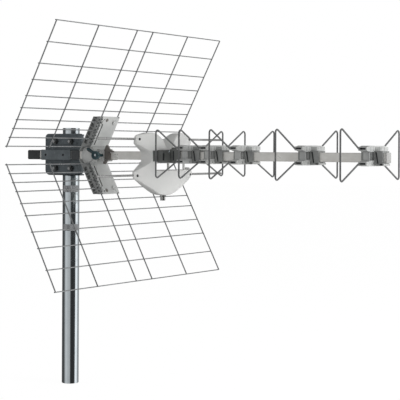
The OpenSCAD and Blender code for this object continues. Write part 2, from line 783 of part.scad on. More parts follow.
mast_tube();
mast_clip_upper();
mast_clip_lower();
clamp_plate();
clamp_bow_upper();
clamp_bow_lower();
clamp_nuts();
boom_sleeve();
set_screws();
boom_collar();
boom_tube();
boom_rear_cap();
boom_front_cap();
reflector_upper();
reflector_lower();
bracket_hub();
bracket_back_upper();
bracket_back_lower();
bracket_front_upper();
bracket_front_lower();
hub_cap_left();
hub_cap_right();
clamp_screw();
clamp_lever();
boom_latch();
dipole_housing();
dipole_saddle();
dipole_rod_upper();
dipole_rod_lower();
coax_socket();
director_1();
director_2();
director_3();
director_4();
director_5();
holder_1();
holder_2();
holder_3();
holder_4();
holder_5();
holder_screws();
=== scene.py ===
"""Looks of a television aerial for the UHF band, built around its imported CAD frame.

The frame's origin is the centre of the mast's lower end, with +Z up and +X forward
along the boom. All lengths are in metres unless a name says otherwise.
"""

import json
import logging
from dataclasses import dataclass, field
from enum import Enum

import bmesh
import bpy
import numpy as np
from mathutils import Matrix, Vector

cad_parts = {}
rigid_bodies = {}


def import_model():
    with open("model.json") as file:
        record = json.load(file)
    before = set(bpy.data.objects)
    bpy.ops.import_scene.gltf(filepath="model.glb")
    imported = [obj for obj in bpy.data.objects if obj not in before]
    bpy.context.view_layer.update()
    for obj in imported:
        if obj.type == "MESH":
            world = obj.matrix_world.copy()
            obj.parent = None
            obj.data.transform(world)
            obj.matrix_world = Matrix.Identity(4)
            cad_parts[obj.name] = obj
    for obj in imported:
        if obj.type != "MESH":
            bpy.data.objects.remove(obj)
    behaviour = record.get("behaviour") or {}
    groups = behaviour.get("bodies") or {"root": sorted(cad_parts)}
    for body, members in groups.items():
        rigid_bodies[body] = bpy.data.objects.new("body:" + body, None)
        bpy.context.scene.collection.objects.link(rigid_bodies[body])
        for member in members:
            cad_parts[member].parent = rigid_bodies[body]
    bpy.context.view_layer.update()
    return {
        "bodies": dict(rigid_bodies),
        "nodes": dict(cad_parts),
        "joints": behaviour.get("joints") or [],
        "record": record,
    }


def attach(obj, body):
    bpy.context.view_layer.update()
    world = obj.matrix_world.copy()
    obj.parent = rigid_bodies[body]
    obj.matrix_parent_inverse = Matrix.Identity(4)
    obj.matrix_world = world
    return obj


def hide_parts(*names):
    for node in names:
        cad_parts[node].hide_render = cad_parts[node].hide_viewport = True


LOG = logging.getLogger("aerial")
ROOT = "root"
MM = 0.001
BOOM_Y = -31 * MM
BOOM_Z = 460 * MM
Array = np.ndarray
Socket = bpy.types.NodeSocket
Piece = bpy.types.Object
Colour = tuple[float, float, float]
Corner = tuple[float, float, float]
Flat = tuple[float, float]
Outline = tuple[Flat, ...]
SRGB_KNEE = 0.04045
WHITE = (1.0, 1.0, 1.0)
PALE = (0.9, 0.9, 0.9)
# Sharpest angles, in degrees, that are still shaded smooth: on CAD copies, and on blocks
SHARP = 30.0
BLOCK_SHARP = 35.0
EVERY_DIRECTOR = (321, 372, 437, 571, 693)


def tone(red: float, green: float, blue: float) -> Colour:
    """Turns a display colour from 0 to 255 into the linear colour that a shader takes.

    Args:
        red: Display value of the red channel.
        green: Display value of the green channel.
        blue: Display value of the blue channel.

    Returns:
        The three linear values: the sRGB curve's power part, or its straight part near black.
    """
    shown = np.array([red, green, blue], float) / 255
    linear = np.where(shown <= SRGB_KNEE, shown / 12.92, ((shown + 0.055) / 1.055) ** 2.4)
    return tuple(float(v) for v in linear)


class Axis(Enum):
    """Direction that a drawn or brushed pattern runs in."""

    ALONG_X = 0
    ALONG_Y = 1
    ALONG_Z = 2


# Meshes


def from_axis(points: Array | Corner | list[Array]) -> Array:
    """Turns places in millimetres from the boom's axis into points of the frame."""
    return np.asarray(points, float) * MM + (0, BOOM_Y, BOOM_Z)


def grid_faces(rows: int, columns: int, wrap_rows: bool, wrap_columns: bool) -> Array:
    """Lists the four-sided faces of a grid of points stored row by row.

    Args:
        rows: How many rows the grid has.
        columns: How many points each row has.
        wrap_rows: Whether the last row joins the first.
        wrap_columns: Whether each row closes on itself.

    Returns:
        One line of four point numbers for each cell of the grid.
    """
    row = np.arange(rows if wrap_rows else rows - 1)[:, None]
    column = np.arange(columns if wrap_columns else columns - 1)[None, :]
    next_row, next_column = (row + 1) % rows, (column + 1) % columns
    corners = [row * columns + column, row * columns + next_column,
               next_row * columns + next_column, next_row * columns + column]
    return np.stack([np.broadcast_to(c, (row.shape[0], column.shape[1])) for c in corners],
                    axis=-1).reshape(-1, 4)


@dataclass
class Shell:
    """Points and faces of one or more closed surfaces, collected before they become a mesh."""

    points: list[Array] = field(default_factory=list)
    quads: list[Array] = field(default_factory=list)
    fans: list[Array] = field(default_factory=list)
    count: int = 0

    def add(self, points: Array, quads: Array, fans: Array | None = None) -> None:
        """Adds one surface, moving its point numbers past those already held.

        Args:
            points: The surface's points, one line each.
            quads: Its four-sided faces.
            fans: Its three-sided faces, where it has any.
        """
        self.points.append(points.reshape(-1, 3))
        self.quads.append(quads + self.count)
        if fans is not None and len(fans):
            self.fans.append(fans + self.count)
        self.count += len(self.points[-1])

    def add_grid(self, grid: Array, wrap_rows: bool, wrap_columns: bool, capped: bool = False) -> None:
        """Adds a surface given as a grid of points.

        Args:
            grid: Points in an array of rows, columns and 3.
            wrap_rows: Whether the last row joins the first.
            wrap_columns: Whether each row closes on itself.
            capped: Whether a fan from the middle closes the first and the last row.
        """
        rows, columns = grid.shape[:2]
        quads = grid_faces(rows, columns, wrap_rows, wrap_columns)
        points, fans = grid.reshape(-1, 3), None
        if capped:
            ring = np.arange(columns)
            following = (ring + 1) % columns
            first, last = len(points), len(points) + 1
            end = (rows - 1) * columns
            points = np.vstack([points, grid[0].mean(0), grid[-1].mean(0)])
            fans = np.vstack([
                np.stack([np.full(columns, first), following, ring], 1),
                np.stack([np.full(columns, last), end + ring, end + following], 1)])
        self.add(points, quads, fans)

    def tube(self, path: Array, radii: Array, sides: int, across: Array, closed: bool = False) -> None:
        """Adds a round tube: at each path point a circle square to the path's direction.

        Args:
            path: Points of the tube's centre line.
            radii: The circle's radius at each point.
            sides: Points round each circle.
            across: A direction that is square to the whole path, which fixes each circle's turn.
            closed: Whether the path is a loop.
        """
        if closed:
            along = np.roll(path, -1, 0) - np.roll(path, 1, 0)
        else:
            along = np.gradient(path, axis=0)
        along /= np.linalg.norm(along, axis=1, keepdims=True)
        first = np.broadcast_to(across / np.linalg.norm(across), path.shape)
        second = np.cross(along, first)
        turn = np.linspace(0, 2 * np.pi, sides, endpoint=False)
        grid = path[:, None] + radii[:, None, None] * (
            np.cos(turn)[None, :, None] * first[:, None] + np.sin(turn)[None, :, None] * second[:, None])
        self.add_grid(grid, closed, True, capped=not closed)

    def rod(self, start: Array, end: Array, radius: float, sides: int = 12, rounding: float = 0.3) -> None:
        """Adds a straight rod whose rims are rounded by a share of its radius.

        Args:
            start: Middle of one end.
            end: Middle of the other end.
            radius: Radius of the rod.
            sides: Points round it.
            rounding: Size of the rounded rim as a share of the radius.
        """
        start, end = np.asarray(start, float), np.asarray(end, float)
        run = end - start
        length = np.linalg.norm(run)
        rim = rounding * radius
        angle = np.linspace(0, np.pi / 2, 4)
        inset, rise = rim * (1 - np.cos(angle)), radius - rim + rim * np.sin(angle)
        places = np.concatenate([inset, length - inset[::-1]])
        radii = np.concatenate([rise, rise[::-1]])
        helper = np.array([1.0, 0, 0]) if abs(run[0]) < 0.9 * length else np.array([0, 0, 1.0])
        self.tube(start + places[:, None] * run / length, radii, sides, np.cross(run, helper))

    def lathe(self, profile: Array, sides: int) -> None:
        """Adds a closed outline of radius and height turned about the Z axis.

        Args:
            profile: Lines of radius and height, in order round the outline.
            sides: Points round the axis.
        """
        turn = np.linspace(0, 2 * np.pi, sides, endpoint=False)
        radius, height = profile[:, :1], profile[:, 1:]
        grid = np.stack([radius * np.cos(turn), radius * np.sin(turn), height + 0 * turn], axis=-1)
        self.add_grid(grid, True, True)

    def prism(self, outline: Array | Outline, axis: Axis, low: float, high: float) -> None:
        """Adds a flat outline drawn out along one axis.

        Args:
            outline: Corners in the two other axes, in the order X, Y, Z.
            axis: The axis that it runs along.
            low: Where it starts.
            high: Where it ends.
        """
        outline = np.asarray(outline, float)
        rings = [np.insert(outline, axis.value, place, axis=1) for place in (low, high)]
        self.add_grid(from_axis(rings), False, True, capped=True)

    def block(self, low: Corner, high: Corner) -> None:
        """Adds a box given by two opposite corners, in millimetres from the boom's axis."""
        (x0, y0, z0), (x1, y1, z1) = low, high
        self.prism(((x0, y0), (x1, y0), (x1, y1), (x0, y1)), Axis.ALONG_Z, z0, z1)

    def bead(self, centre: Array, half: Array, rings: int = 5, sides: int = 8) -> None:
        """Adds a small egg-shaped bead: a sphere's latitude and longitude grid, stretched along each axis.

        Args:
            centre: The bead's middle.
            half: Its half size along X, Y and Z.
            rings: Circles between its poles.
            sides: Points round each circle.
        """
        latitude = np.linspace(-np.pi / 2, np.pi / 2, rings + 2)[1:-1]
        longitude = np.linspace(0, 2 * np.pi, sides, endpoint=False)
        unit = np.stack([np.cos(latitude)[:, None] * np.cos(longitude),
                         np.cos(latitude)[:, None] * np.sin(longitude),
                         np.sin(latitude)[:, None] + 0 * longitude], axis=-1)
        self.add_grid(centre + unit * half, False, True, capped=True)

    def build(self, name: str, smooth_angle: float = 40.0) -> Piece:
        """Makes the mesh object, with doubled points merged and its faces pointing outwards.

        Args:
            name: Name of the new piece.
            smooth_angle: Sharpest angle in degrees that is still shaded smooth.

        Returns:
            The new object, at the origin and linked to the scene.
        """
        faces = np.vstack(self.quads).tolist()
        if self.fans:
            faces += np.vstack(self.fans).tolist()
        mesh = bpy.data.meshes.new(name)
        mesh.from_pydata(np.vstack(self.points).tolist(), [], faces)
        work = bmesh.new()
        work.from_mesh(mesh)
        bmesh.ops.remove_doubles(work, verts=work.verts, dist=1e-7)
        bmesh.ops.recalc_face_normals(work, faces=work.faces)
        work.to_mesh(mesh)
        work.free()
        piece = bpy.data.objects.new(name, mesh)
        bpy.context.scene.collection.objects.link(piece)
        shade(piece, smooth_angle)
        return piece


def shade(piece: Piece, smooth_angle: float) -> None:
    """Shades a piece smooth, apart from its edges sharper than the angle in degrees."""
    mesh = piece.data
    mesh.shade_smooth()
    work = bmesh.new()
    work.from_mesh(mesh)
    limit = np.radians(smooth_angle)
    for edge in work.edges:
        edge.smooth = edge.is_manifold and edge.calc_face_angle(0.0) < limit
    work.to_mesh(mesh)
    work.free()


# Finishes


@dataclass
class NodeBoard:
    """Short calls for building the nodes of one material or of the world."""

    owner: bpy.types.Material | bpy.types.World

    def __post_init__(self) -> None:
        """Empties the owner's node tree."""
        self.owner.use_nodes = True
        self.owner.node_tree.nodes.clear()

    @classmethod
    def for_material(cls, name: str) -> "NodeBoard":
        """Makes an empty node material and the board that builds it."""
        return cls(bpy.data.materials.new(name))

    def node(self, kind: str, **settings: object) -> bpy.types.Node:
        """Adds a node and sets its properties.

        Args:
            kind: Blender's name of the node type.
            **settings: Properties of the node.

        Returns:
            The new node.
        """
        made = self.owner.node_tree.nodes.new(kind)
        for key, value in settings.items():
            setattr(made, key, value)
        return made

    def link(self, source: Socket, target: Socket) -> None:
        """Joins two sockets."""
        self.owner.node_tree.links.new(source, target)

    def place(self, stretch: Corner = (1, 1, 1)) -> Socket:
        """Gives the piece's own coordinates, each axis times how much finer the pattern runs along it."""
        coordinates = self.node("ShaderNodeTexCoord")
        mapping = self.node("ShaderNodeMapping")
        mapping.inputs["Scale"].default_value = stretch
        self.link(coordinates.outputs["Object"], mapping.inputs["Vector"])
        return mapping.outputs["Vector"]

    def noise(self, vector: Socket, scale: float, detail: float = 3.0, roughness: float = 0.5) -> Socket:
        """Adds a cloud pattern and returns its value socket.

        Args:
            vector: Where to read the place from.
            scale: Patches in each metre.
            detail: How many finer layers it has.
            roughness: Strength of the finer layers.

        Returns:
            The value, about 0.5 on average.
        """
        made = self.node("ShaderNodeTexNoise")
        made.inputs["Scale"].default_value = scale
        made.inputs["Detail"].default_value = detail
        made.inputs["Roughness"].default_value = roughness
        self.link(vector, made.inputs["Vector"])
        return made.outputs["Fac"]

    def span(self, value: Socket, low: float, high: float, from_low: float = 0.3, from_high: float = 0.7) -> Socket:
        """Moves a value from one range to another.

        Args:
            value: The value.
            low: Result at from_low.
            high: Result at from_high.
            from_low: Lowest value read.
            from_high: Highest value read.

        Returns:
            The moved value, held inside its range.
        """
        made = self.node("ShaderNodeMapRange")
        for key, number in (("From Min", from_low), ("From Max", from_high), ("To Min", low), ("To Max", high)):
            made.inputs[key].default_value = number
        self.link(value, made.inputs["Value"])
        return made.outputs["Result"]

    def mix(self, share: Socket, first: Colour | Socket, second: Colour | Socket) -> Socket:
        """Mixes two colours.

        Args:
            share: How much of the second colour shows.
            first: Colour at share 0.
            second: Colour at share 1.

        Returns:
            The mixed colour socket.
        """
        made = self.node("ShaderNodeMix", data_type="RGBA")
        self.link(share, made.inputs["Factor"])
        for index, colour in ((6, first), (7, second)):
            if isinstance(colour, Socket):
                self.link(colour, made.inputs[index])
            else:
                made.inputs[index].default_value = (*colour, 1.0)
        return made.outputs[2]

    def bump(self, height: Socket, depth: float, strength: float = 1.0, under: Socket | None = None) -> Socket:
        """Turns a height into a bumped normal.

        Args:
            height: The height, from 0 to 1.
            depth: Height of a full step, in metres.
            strength: Share of the effect that shows.
            under: A bumped normal that this one is laid over.

        Returns:
            The normal socket.
        """
        made = self.node("ShaderNodeBump")
        made.inputs["Distance"].default_value = depth
        made.inputs["Strength"].default_value = strength
        self.link(height, made.inputs["Height"])
        if under is not None:
            self.link(under, made.inputs["Normal"])
        return made.outputs["Normal"]

    def close(self, colour: Socket, roughness: Socket,
              normal: Socket | None, **sockets: float | Colour) -> bpy.types.Material:
        """Ends the material in one Principled shader.

        Args:
            colour: Base colour socket.
            roughness: Roughness socket.
            normal: Normal socket, or None for a smooth surface.
            **sockets: Values set on the shader's own sockets, with _ for each space in a name.

        Returns:
            The finished material.
        """
        shader = self.node("ShaderNodeBsdfPrincipled")
        self.link(colour, shader.inputs["Base Color"])
        self.link(roughness, shader.inputs["Roughness"])
        if normal:
            self.link(normal, shader.inputs["Normal"])
        for name, value in sockets.items():
            shader.inputs[name.replace("_", " ")].default_value = value
        output = self.node("ShaderNodeOutputMaterial")
        self.link(shader.outputs["BSDF"], output.inputs["Surface"])
        return self.owner


@dataclass(frozen=True)
class MouldedPlastic:
    """Injection moulded plastic: faint flow clouds, a fine mould grain and a little dust."""

    colour: Colour
    shade: Colour
    roughness: float = 0.42
    cloud_scale: float = 28.0
    grain_scale: float = 2600.0
    grain_depth: float = 0.00003
    specular: float = 0.45
    coat: float = 0.0

    def material(self, name: str) -> bpy.types.Material:
        """Builds the material under the given name and returns it."""
        board = NodeBoard.for_material(name)
        place = board.place()
        clouds = board.noise(place, self.cloud_scale, 5, 0.55)
        grain = board.noise(place, self.grain_scale, 2, 0.6)
        specks = board.noise(place, self.grain_scale / 6, 3, 0.7)
        colour = board.mix(board.span(clouds, 0.0, 1.0), self.colour, self.shade)
        colour = board.mix(board.span(specks, 0.0, 0.35, 0.52, 0.75), colour, self.shade)
        roughness = board.span(specks, self.roughness - 0.07, self.roughness + 0.10)
        normal = board.bump(grain, self.grain_depth)
        normal = board.bump(clouds, self.grain_depth * 12, 0.6, normal)
        return board.close(colour, roughness, normal, Specular_IOR_Level=self.specular, Coat_Weight=self.coat,
                           Coat_Roughness=0.2)


@dataclass(frozen=True)
class DrawnMetal:
    """Metal with fine lines along the way it was drawn or extruded, and dull patches."""

    colour: Colour
    shade: Colour
    axis: Axis
    roughness: float = 0.32
    line_scale: float = 900.0
    line_depth: float = 0.00001
    metallic: float = 1.0
    spread: float = 0.1

    def material(self, name: str) -> bpy.types.Material:
        """Builds the material under the given name and returns it."""
        board = NodeBoard.for_material(name)
        stretch = [1.0, 1.0, 1.0]
        stretch[self.axis.value] = 0.02
        lines = board.noise(board.place(tuple(stretch)), self.line_scale, 3, 0.6)
        patches = board.noise(board.place(), 40.0, 4, 0.6)
        colour = board.mix(board.span(patches, 0.0, 1.0), self.colour, self.shade)
        colour = board.mix(board.span(lines, 0.0, 0.5, 0.45, 0.75), colour, self.shade)
        roughness = board.span(patches, self.roughness - self.spread, self.roughness + self.spread)
        normal = board.bump(lines, self.line_depth) if self.line_depth else None
        return board.close(colour, roughness, normal, Metallic=self.metallic)


@dataclass(frozen=True)
class PlatedMetal:
    """Zinc plated or galvanised metal: crystal spangles of slightly different tone, with dull specks."""

    colour: Colour
    shade: Colour
    spangle_scale: float = 260.0
    roughness: float = 0.3
    metallic: float = 1.0
    depth: float = 0.00002

    def material(self, name: str) -> bpy.types.Material:
        """Builds the material under the given name and returns it."""
        board = NodeBoard.for_material(name)
        place = board.place()
        cells = board.node("ShaderNodeTexVoronoi", feature="F1")
        cells.inputs["Scale"].default_value = self.spangle_scale
        board.link(place, cells.inputs["Vector"])
        split = board.node("ShaderNodeSeparateColor")
        board.link(cells.outputs["Color"], split.inputs["Color"])
        clouds = board.noise(place, 30.0, 4, 0.6)
        specks = board.noise(place, 1500.0, 2, 0.6)
        colour = board.mix(board.span(split.outputs["Red"], 0.0, 0.7, 0.0, 1.0), self.colour, self.shade)
        colour = board.mix(board.span(clouds, 0.0, 0.6), colour, self.shade)
        roughness = board.span(split.outputs["Green"], self.roughness - 0.08, self.roughness + 0.1, 0.0, 1.0)
        normal = board.bump(specks, self.depth, 0.7)
        return board.close(colour, roughness, normal, Metallic=self.metallic)


@dataclass(frozen=True)
class CoatedSteel:
    """Steel with a satin coat: orange-peel dimples, a little rubbed metal and dusty patches."""

    colour: Colour
    shade: Colour
    rubbed: Colour
    roughness: float = 0.4
    peel_scale: float = 700.0

    def material(self, name: str) -> bpy.types.Material:
        """Builds the material under the given name and returns it."""
        board = NodeBoard.for_material(name)
        place = board.place()
        peel = board.noise(place, self.peel_scale, 2, 0.5)
        patches = board.noise(place, 60.0, 5, 0.65)
        scuffs = board.noise(board.place((1, 1, 0.25)), 420.0, 4, 0.7)
        colour = board.mix(board.span(patches, 0.0, 1.0), self.colour, self.shade)
        colour = board.mix(board.span(scuffs, 0.0, 0.8, 0.62, 0.74), colour, self.rubbed)
        roughness = board.span(patches, self.roughness - 0.1, self.roughness + 0.12)
        normal = board.bump(peel, 0.00004)
        return board.close(colour, roughness, normal, Metallic=0.25, Specular_IOR_Level=0.5)


@dataclass
class Finishes:
    """Every finish on the aerial, made once and kept by the record's material slot."""

    made: dict[str, bpy.types.Material] = field(default_factory=dict)

    def __post_init__(self) -> None:
        """Makes each finish."""
        pale, pale_shade = tone(214, 215, 213), tone(196, 198, 197)
        finishes = {
            "mast_steel": DrawnMetal(tone(232, 240, 244), tone(220, 229, 234), Axis.ALONG_Z, 0.12, 120.0, 0.0,
                                     spread=0.02),
            "clip_plastic": MouldedPlastic(tone(168, 170, 172), tone(140, 142, 144), 0.5),
            "slate_metal": CoatedSteel(tone(104, 112, 116), tone(82, 89, 94), tone(160, 165, 167)),
            "zinc_rod": PlatedMetal(tone(196, 198, 198), tone(160, 162, 163), 500.0, 0.3),
            "zinc_nut": PlatedMetal(tone(120, 122, 122), tone(92, 94, 95), 500.0, 0.34),
            "sleeve_metal": CoatedSteel(tone(112, 120, 124), tone(92, 99, 103), tone(160, 163, 164)),
            "black_steel": CoatedSteel(tone(46, 48, 50), tone(32, 34, 36), tone(90, 92, 92)),
            "collar_plastic": MouldedPlastic(tone(74, 77, 79), tone(56, 59, 61), 0.5),
            "boom_metal": DrawnMetal(tone(240, 239, 235), tone(224, 222, 217), Axis.ALONG_X, 0.36, metallic=0.35),
            "rear_cap_plastic": MouldedPlastic(tone(66, 68, 69), tone(46, 48, 49), 0.5),
            "front_cap_plastic": MouldedPlastic(tone(186, 186, 184), tone(166, 166, 164)),
            "reflector_wire": DrawnMetal(tone(176, 178, 179), tone(146, 148, 149), Axis.ALONG_Y, 0.3, metallic=0.7),
            "hub_plastic": MouldedPlastic(tone(204, 205, 203), tone(180, 182, 181)),
            "rib_plastic": MouldedPlastic(tone(158, 160, 158), tone(128, 130, 129)),
            "bracket_plastic": MouldedPlastic(pale, pale_shade),
            "knob_plastic": MouldedPlastic(tone(40, 74, 80), tone(28, 56, 62), 0.22, coat=0.5),
            "lever_plastic": MouldedPlastic(tone(26, 56, 63), tone(18, 40, 46), 0.2, coat=0.6),
            "latch_plastic": MouldedPlastic(tone(128, 124, 119), tone(98, 94, 90)),
            "housing_plastic": MouldedPlastic(tone(224, 224, 222), tone(210, 211, 209), 0.4, 14.0),
            "saddle_plastic": MouldedPlastic(tone(118, 120, 118), tone(92, 94, 93)),
            "rod_metal": DrawnMetal(tone(190, 190, 189), tone(164, 164, 163), Axis.ALONG_Y, 0.28, metallic=0.8),
            "socket_metal": PlatedMetal(tone(206, 206, 204), tone(180, 181, 179), 600.0, 0.3),
            "director_wire": DrawnMetal(tone(140, 141, 141), tone(112, 113, 114), Axis.ALONG_Y, 0.34, metallic=0.6),
            "holder_plastic": MouldedPlastic(tone(204, 205, 203), tone(178, 180, 179), 0.32),
            "screw_steel": PlatedMetal(tone(196, 198, 199), tone(166, 168, 169), 600.0, 0.3),
        }
        self.made = {slot: finish.material(slot) for slot, finish in finishes.items()}

    def dress(self, piece: Piece, slot: str) -> Piece:
        """Gives a piece one finish.

        Args:
            piece: The piece.
            slot: The record's material slot.

        Returns:
            The same piece.
        """
        piece.data.materials.clear()
        piece.data.materials.append(self.made[slot])
        return piece


# The aerial


@dataclass
class Aerial:
    """The frame, its finishes and the calls that put a new piece in it."""

    frame: dict
    finishes: Finishes
    slots: dict[str, str] = field(default_factory=dict)

    def __post_init__(self) -> None:
        """Notes each node's material slot."""
        self.slots = {part["node"]: part["material_slot"] for part in self.frame["record"]["subparts"]}

    def keep(self, piece: Piece, *nodes: str) -> Piece:
        """Dresses a new piece, lets it ride on the body and stand for its CAD nodes.

        Args:
            piece: The new piece, in place.
            *nodes: The CAD nodes that it stands for; the first gives its finish.

        Returns:
            The same piece.
        """
        slot = self.slots[nodes[0]]
        self.finishes.dress(piece, slot)
        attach(piece, ROOT)
        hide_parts(*nodes)
        LOG.info("%s stands for %s: %d faces", piece.name, ", ".join(nodes), len(piece.data.polygons))
        return piece

    def rounded(self, piece: Piece, width: float) -> Piece:
        """Rounds a piece's sharp edges to the given width in millimetres."""
        bevel = piece.modifiers.new("rounding", "BEVEL")
        bevel.width, bevel.segments = width * MM, 2
        bevel.limit_method, bevel.angle_limit = "ANGLE", np.radians(SHARP)
        bevel.use_clamp_overlap, bevel.harden_normals = True, True
        return piece

    def extra(self, piece: Piece, slot: str) -> Piece:
        """Dresses a new piece that stands for no node of its own, and lets it ride on the body."""
        self.finishes.dress(piece, slot)
        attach(piece, ROOT)
        return piece

    def machined(self, node: str, rounding: float) -> Piece:
        """Makes a copy of a CAD node with its points merged, its flat faces joined and its edges rounded.

        Args:
            node: Name of the CAD node.
            rounding: Width of the rounding, in millimetres.

        Returns:
            The new piece, which stands for the node.
        """
        mesh = self.frame["nodes"][node].data.copy()
        mesh.materials.clear()
        work = bmesh.new()
        work.from_mesh(mesh)
        bmesh.ops.remove_doubles(work, verts=work.verts, dist=1e-6)
        bmesh.ops.dissolve_limit(work, angle_limit=np.radians(1.0), verts=work.verts, edges=work.edges)
        work.to_mesh(mesh)
        work.free()
        piece = bpy.data.objects.new(f"{node}_body", mesh)
        bpy.context.scene.collection.objects.link(piece)
        if rounding > 0:
            self.rounded(piece, rounding)
        shade(piece, SHARP)
        return self.keep(piece, node)


def bent_loop(corners: Array, radii: Array, steps: int = 9) -> Array:
    """Rounds the corners of a closed flat outline.

    Each corner gives way to an arc that touches both of its sides: the arc starts
    radius * tan(turn / 2) before the corner, and its centre lies square to the side there.

    Args:
        corners: The outline's corners, two numbers each.
        radii: Bend radius at each corner.
        steps: Points in each arc.

    Returns:
        The points of the rounded outline in order.
    """
    into = corners - np.roll(corners, 1, 0)
    into /= np.linalg.norm(into, axis=1, keepdims=True)
    out = np.roll(into, -1, 0)
    turn = np.arctan2(into[:, 0] * out[:, 1] - into[:, 1] * out[:, 0], (into * out).sum(1))
    start = corners - into * (radii * np.tan(np.abs(turn) / 2))[:, None]
    side = np.stack([-into[:, 1], into[:, 0]], 1) * np.sign(turn)[:, None]
    share = np.linspace(0, 1, steps)[None, :] * np.abs(turn)[:, None]
    arcs = start[:, None] + radii[:, None, None] * (
        np.sin(share)[..., None] * into[:, None] + (1 - np.cos(share))[..., None] * side[:, None])
    return arcs.reshape(-1, 2)


@dataclass(frozen=True)
class MastTube:
    """The hollow mast, with both ends' rims rounded."""

    radius: float = 17.0
    bore: float = 15.5
    length: float = 514.0
    rim: float = 0.35
    sides: int = 160

    def build(self, aerial: Aerial) -> None:
        """Turns the wall's outline about the mast's axis."""
        low, high = self.rim, self.length - self.rim
        outline = np.array([
            (self.bore + self.rim, 0), (self.radius - self.rim, 0), (self.radius - 0.3 * self.rim, 0.3 * self.rim),
            (self.radius, low), (self.radius, high), (self.radius - 0.3 * self.rim, self.length - 0.3 * self.rim),
            (self.radius - self.rim, self.length), (self.bore + self.rim, self.length),
            (self.bore + 0.3 * self.rim, self.length - 0.3 * self.rim), (self.bore, high), (self.bore, low),
            (self.bore + 0.3 * self.rim, 0.3 * self.rim)])
        shell = Shell()
        shell.lathe(outline * MM, self.sides)
        aerial.keep(shell.build("mast_skin"), "mast_tube")


@dataclass(frozen=True)
class ReflectorPanel:
    """One wire grid: cross wires, the slope wires in front of them and a bead of weld at each crossing.

    A point at the distance s up the slope lies at
    X = panel_x + s sin(lean) and Z = side (rise + s cos(lean)), seen from the boom's axis.
    """

    side: int
    width: float = 500.0
    length: float = 250.0
    lean: float = np.radians(28.4)
    place: float = 93.0
    rise: float = 16.6
    cross_radius: float = 1.0
    slope_radius: float = 1.25
    pitches: tuple[float, ...] = (18, 18, 18, 24, 24, 32, 32, 42)
    slope_places: tuple[float, ...] = (-248.75, -136, -24, 24, 136, 248.75)
    weld_sink: float = 0.4

    def at(self, ahead: Array, across: Array, slope: Array) -> Array:
        """Turns places on the panel into points of the frame.

        Args:
            ahead: Distance in front of the cross wires.
            across: Distance along Y from the boom's axis.
            slope: Distance up the slope.

        Returns:
            One point on each line, in metres.
        """
        ahead, across, slope = np.broadcast_arrays(*(np.asarray(v, float) for v in (ahead, across, slope)))
        x = self.place + slope * np.sin(self.lean) + ahead * np.cos(self.lean)
        z = self.rise + slope * np.cos(self.lean) - ahead * np.sin(self.lean)
        return from_axis(np.stack([x, across, self.side * z], axis=-1))

    def build(self, aerial: Aerial) -> None:
        """Makes the panel's wires and welds as one piece."""
        shell = Shell()
        crosses = np.append(np.cumsum((0, *self.pitches)), self.length)
        lift = self.cross_radius + self.slope_radius - self.weld_sink
        for slope in crosses:
            shell.rod(self.at(0, -self.width / 2, slope), self.at(0, self.width / 2, slope), self.cross_radius * MM)
        for across in self.slope_places:
            low, high = -self.cross_radius, self.length + self.cross_radius
            shell.rod(self.at(lift, across, low), self.at(lift, across, high), self.slope_radius * MM)
            for slope in crosses:
                for offset in (-1, 1):
                    middle = self.at(lift - self.slope_radius, across + 1.1 * offset, slope)
                    shell.bead(middle, np.array([0.8, 0.9, 0.8]) * MM)
        name = "upper" if self.side > 0 else "lower"
        aerial.keep(shell.build(f"reflector_{name}_wires"), f"reflector_{name}")


@dataclass(frozen=True)
class BowTies:
    """The five bent wire loops."""

    places: tuple[float, ...] = EVERY_DIRECTOR
    width: float = 213.0
    height: float = 87.0
    rise: float = 4.2
    wire: float = 1.5
    corner: float = 5.0
    waist_bend: float = 5.0
    waist_half: float = 43.0
    waist_up: float = 15.0
    waist_down: float = 9.9

    def corner_height(self, waist: float, reach: float) -> float:
        """Height of a leg's outer corner, so that its rounded bend just reaches the loop's full height."""
        across = self.width / 2 - self.wire - self.corner - self.waist_half
        climb = reach - self.wire - self.corner - waist
        slope = np.arctan2(climb, across) + np.arcsin(self.corner / np.hypot(across, climb))
        return waist + (self.width / 2 - self.wire - self.waist_half) * np.tan(slope)

    def build(self, aerial: Aerial) -> None:
        """Bends each loop round its eight corners."""
        bar = self.width / 2 - self.wire
        top = self.corner_height(self.waist_up, self.rise + self.height / 2)
        bottom = -self.corner_height(self.waist_down, self.height / 2 - self.rise)
        half = self.waist_half
        corners = np.array([(-bar, bottom), (-half, -self.waist_down), (half, -self.waist_down), (bar, bottom),
                            (bar, top), (half, self.waist_up), (-half, self.waist_up), (-bar, top)])
        radii = np.array([self.corner, self.waist_bend, self.waist_bend, self.corner] * 2)
        outline = bent_loop(corners, radii)
        for number, place in enumerate(self.places, 1):
            path = from_axis(np.insert(outline, 0, place, axis=1))
            shell = Shell()
            shell.tube(path, np.full(len(path), self.wire * MM), 16, np.array([1.0, 0, 0]), closed=True)
            aerial.keep(shell.build(f"director_{number}_wire", 60.0), f"director_{number}")


@dataclass(frozen=True)
class DipoleRods:
    """The two halves of each dipole rod."""

    place: float = 257.0
    heights: Flat = (31.0, -35.6)
    half_length: float = 192.5
    half_gap: float = 30.0
    radius: float = 2.0

    def build(self, aerial: Aerial) -> None:
        """Makes each rod's two halves as one piece."""
        for name, height in zip(("upper", "lower"), self.heights):
            shell = Shell()
            for side in (-1, 1):
                ends = [from_axis((self.place, side * y, height)) for y in (self.half_gap, self.half_length)]
                shell.rod(*ends, self.radius * MM, 20)
            aerial.keep(shell.build(f"dipole_{name}_halves"), f"dipole_rod_{name}")


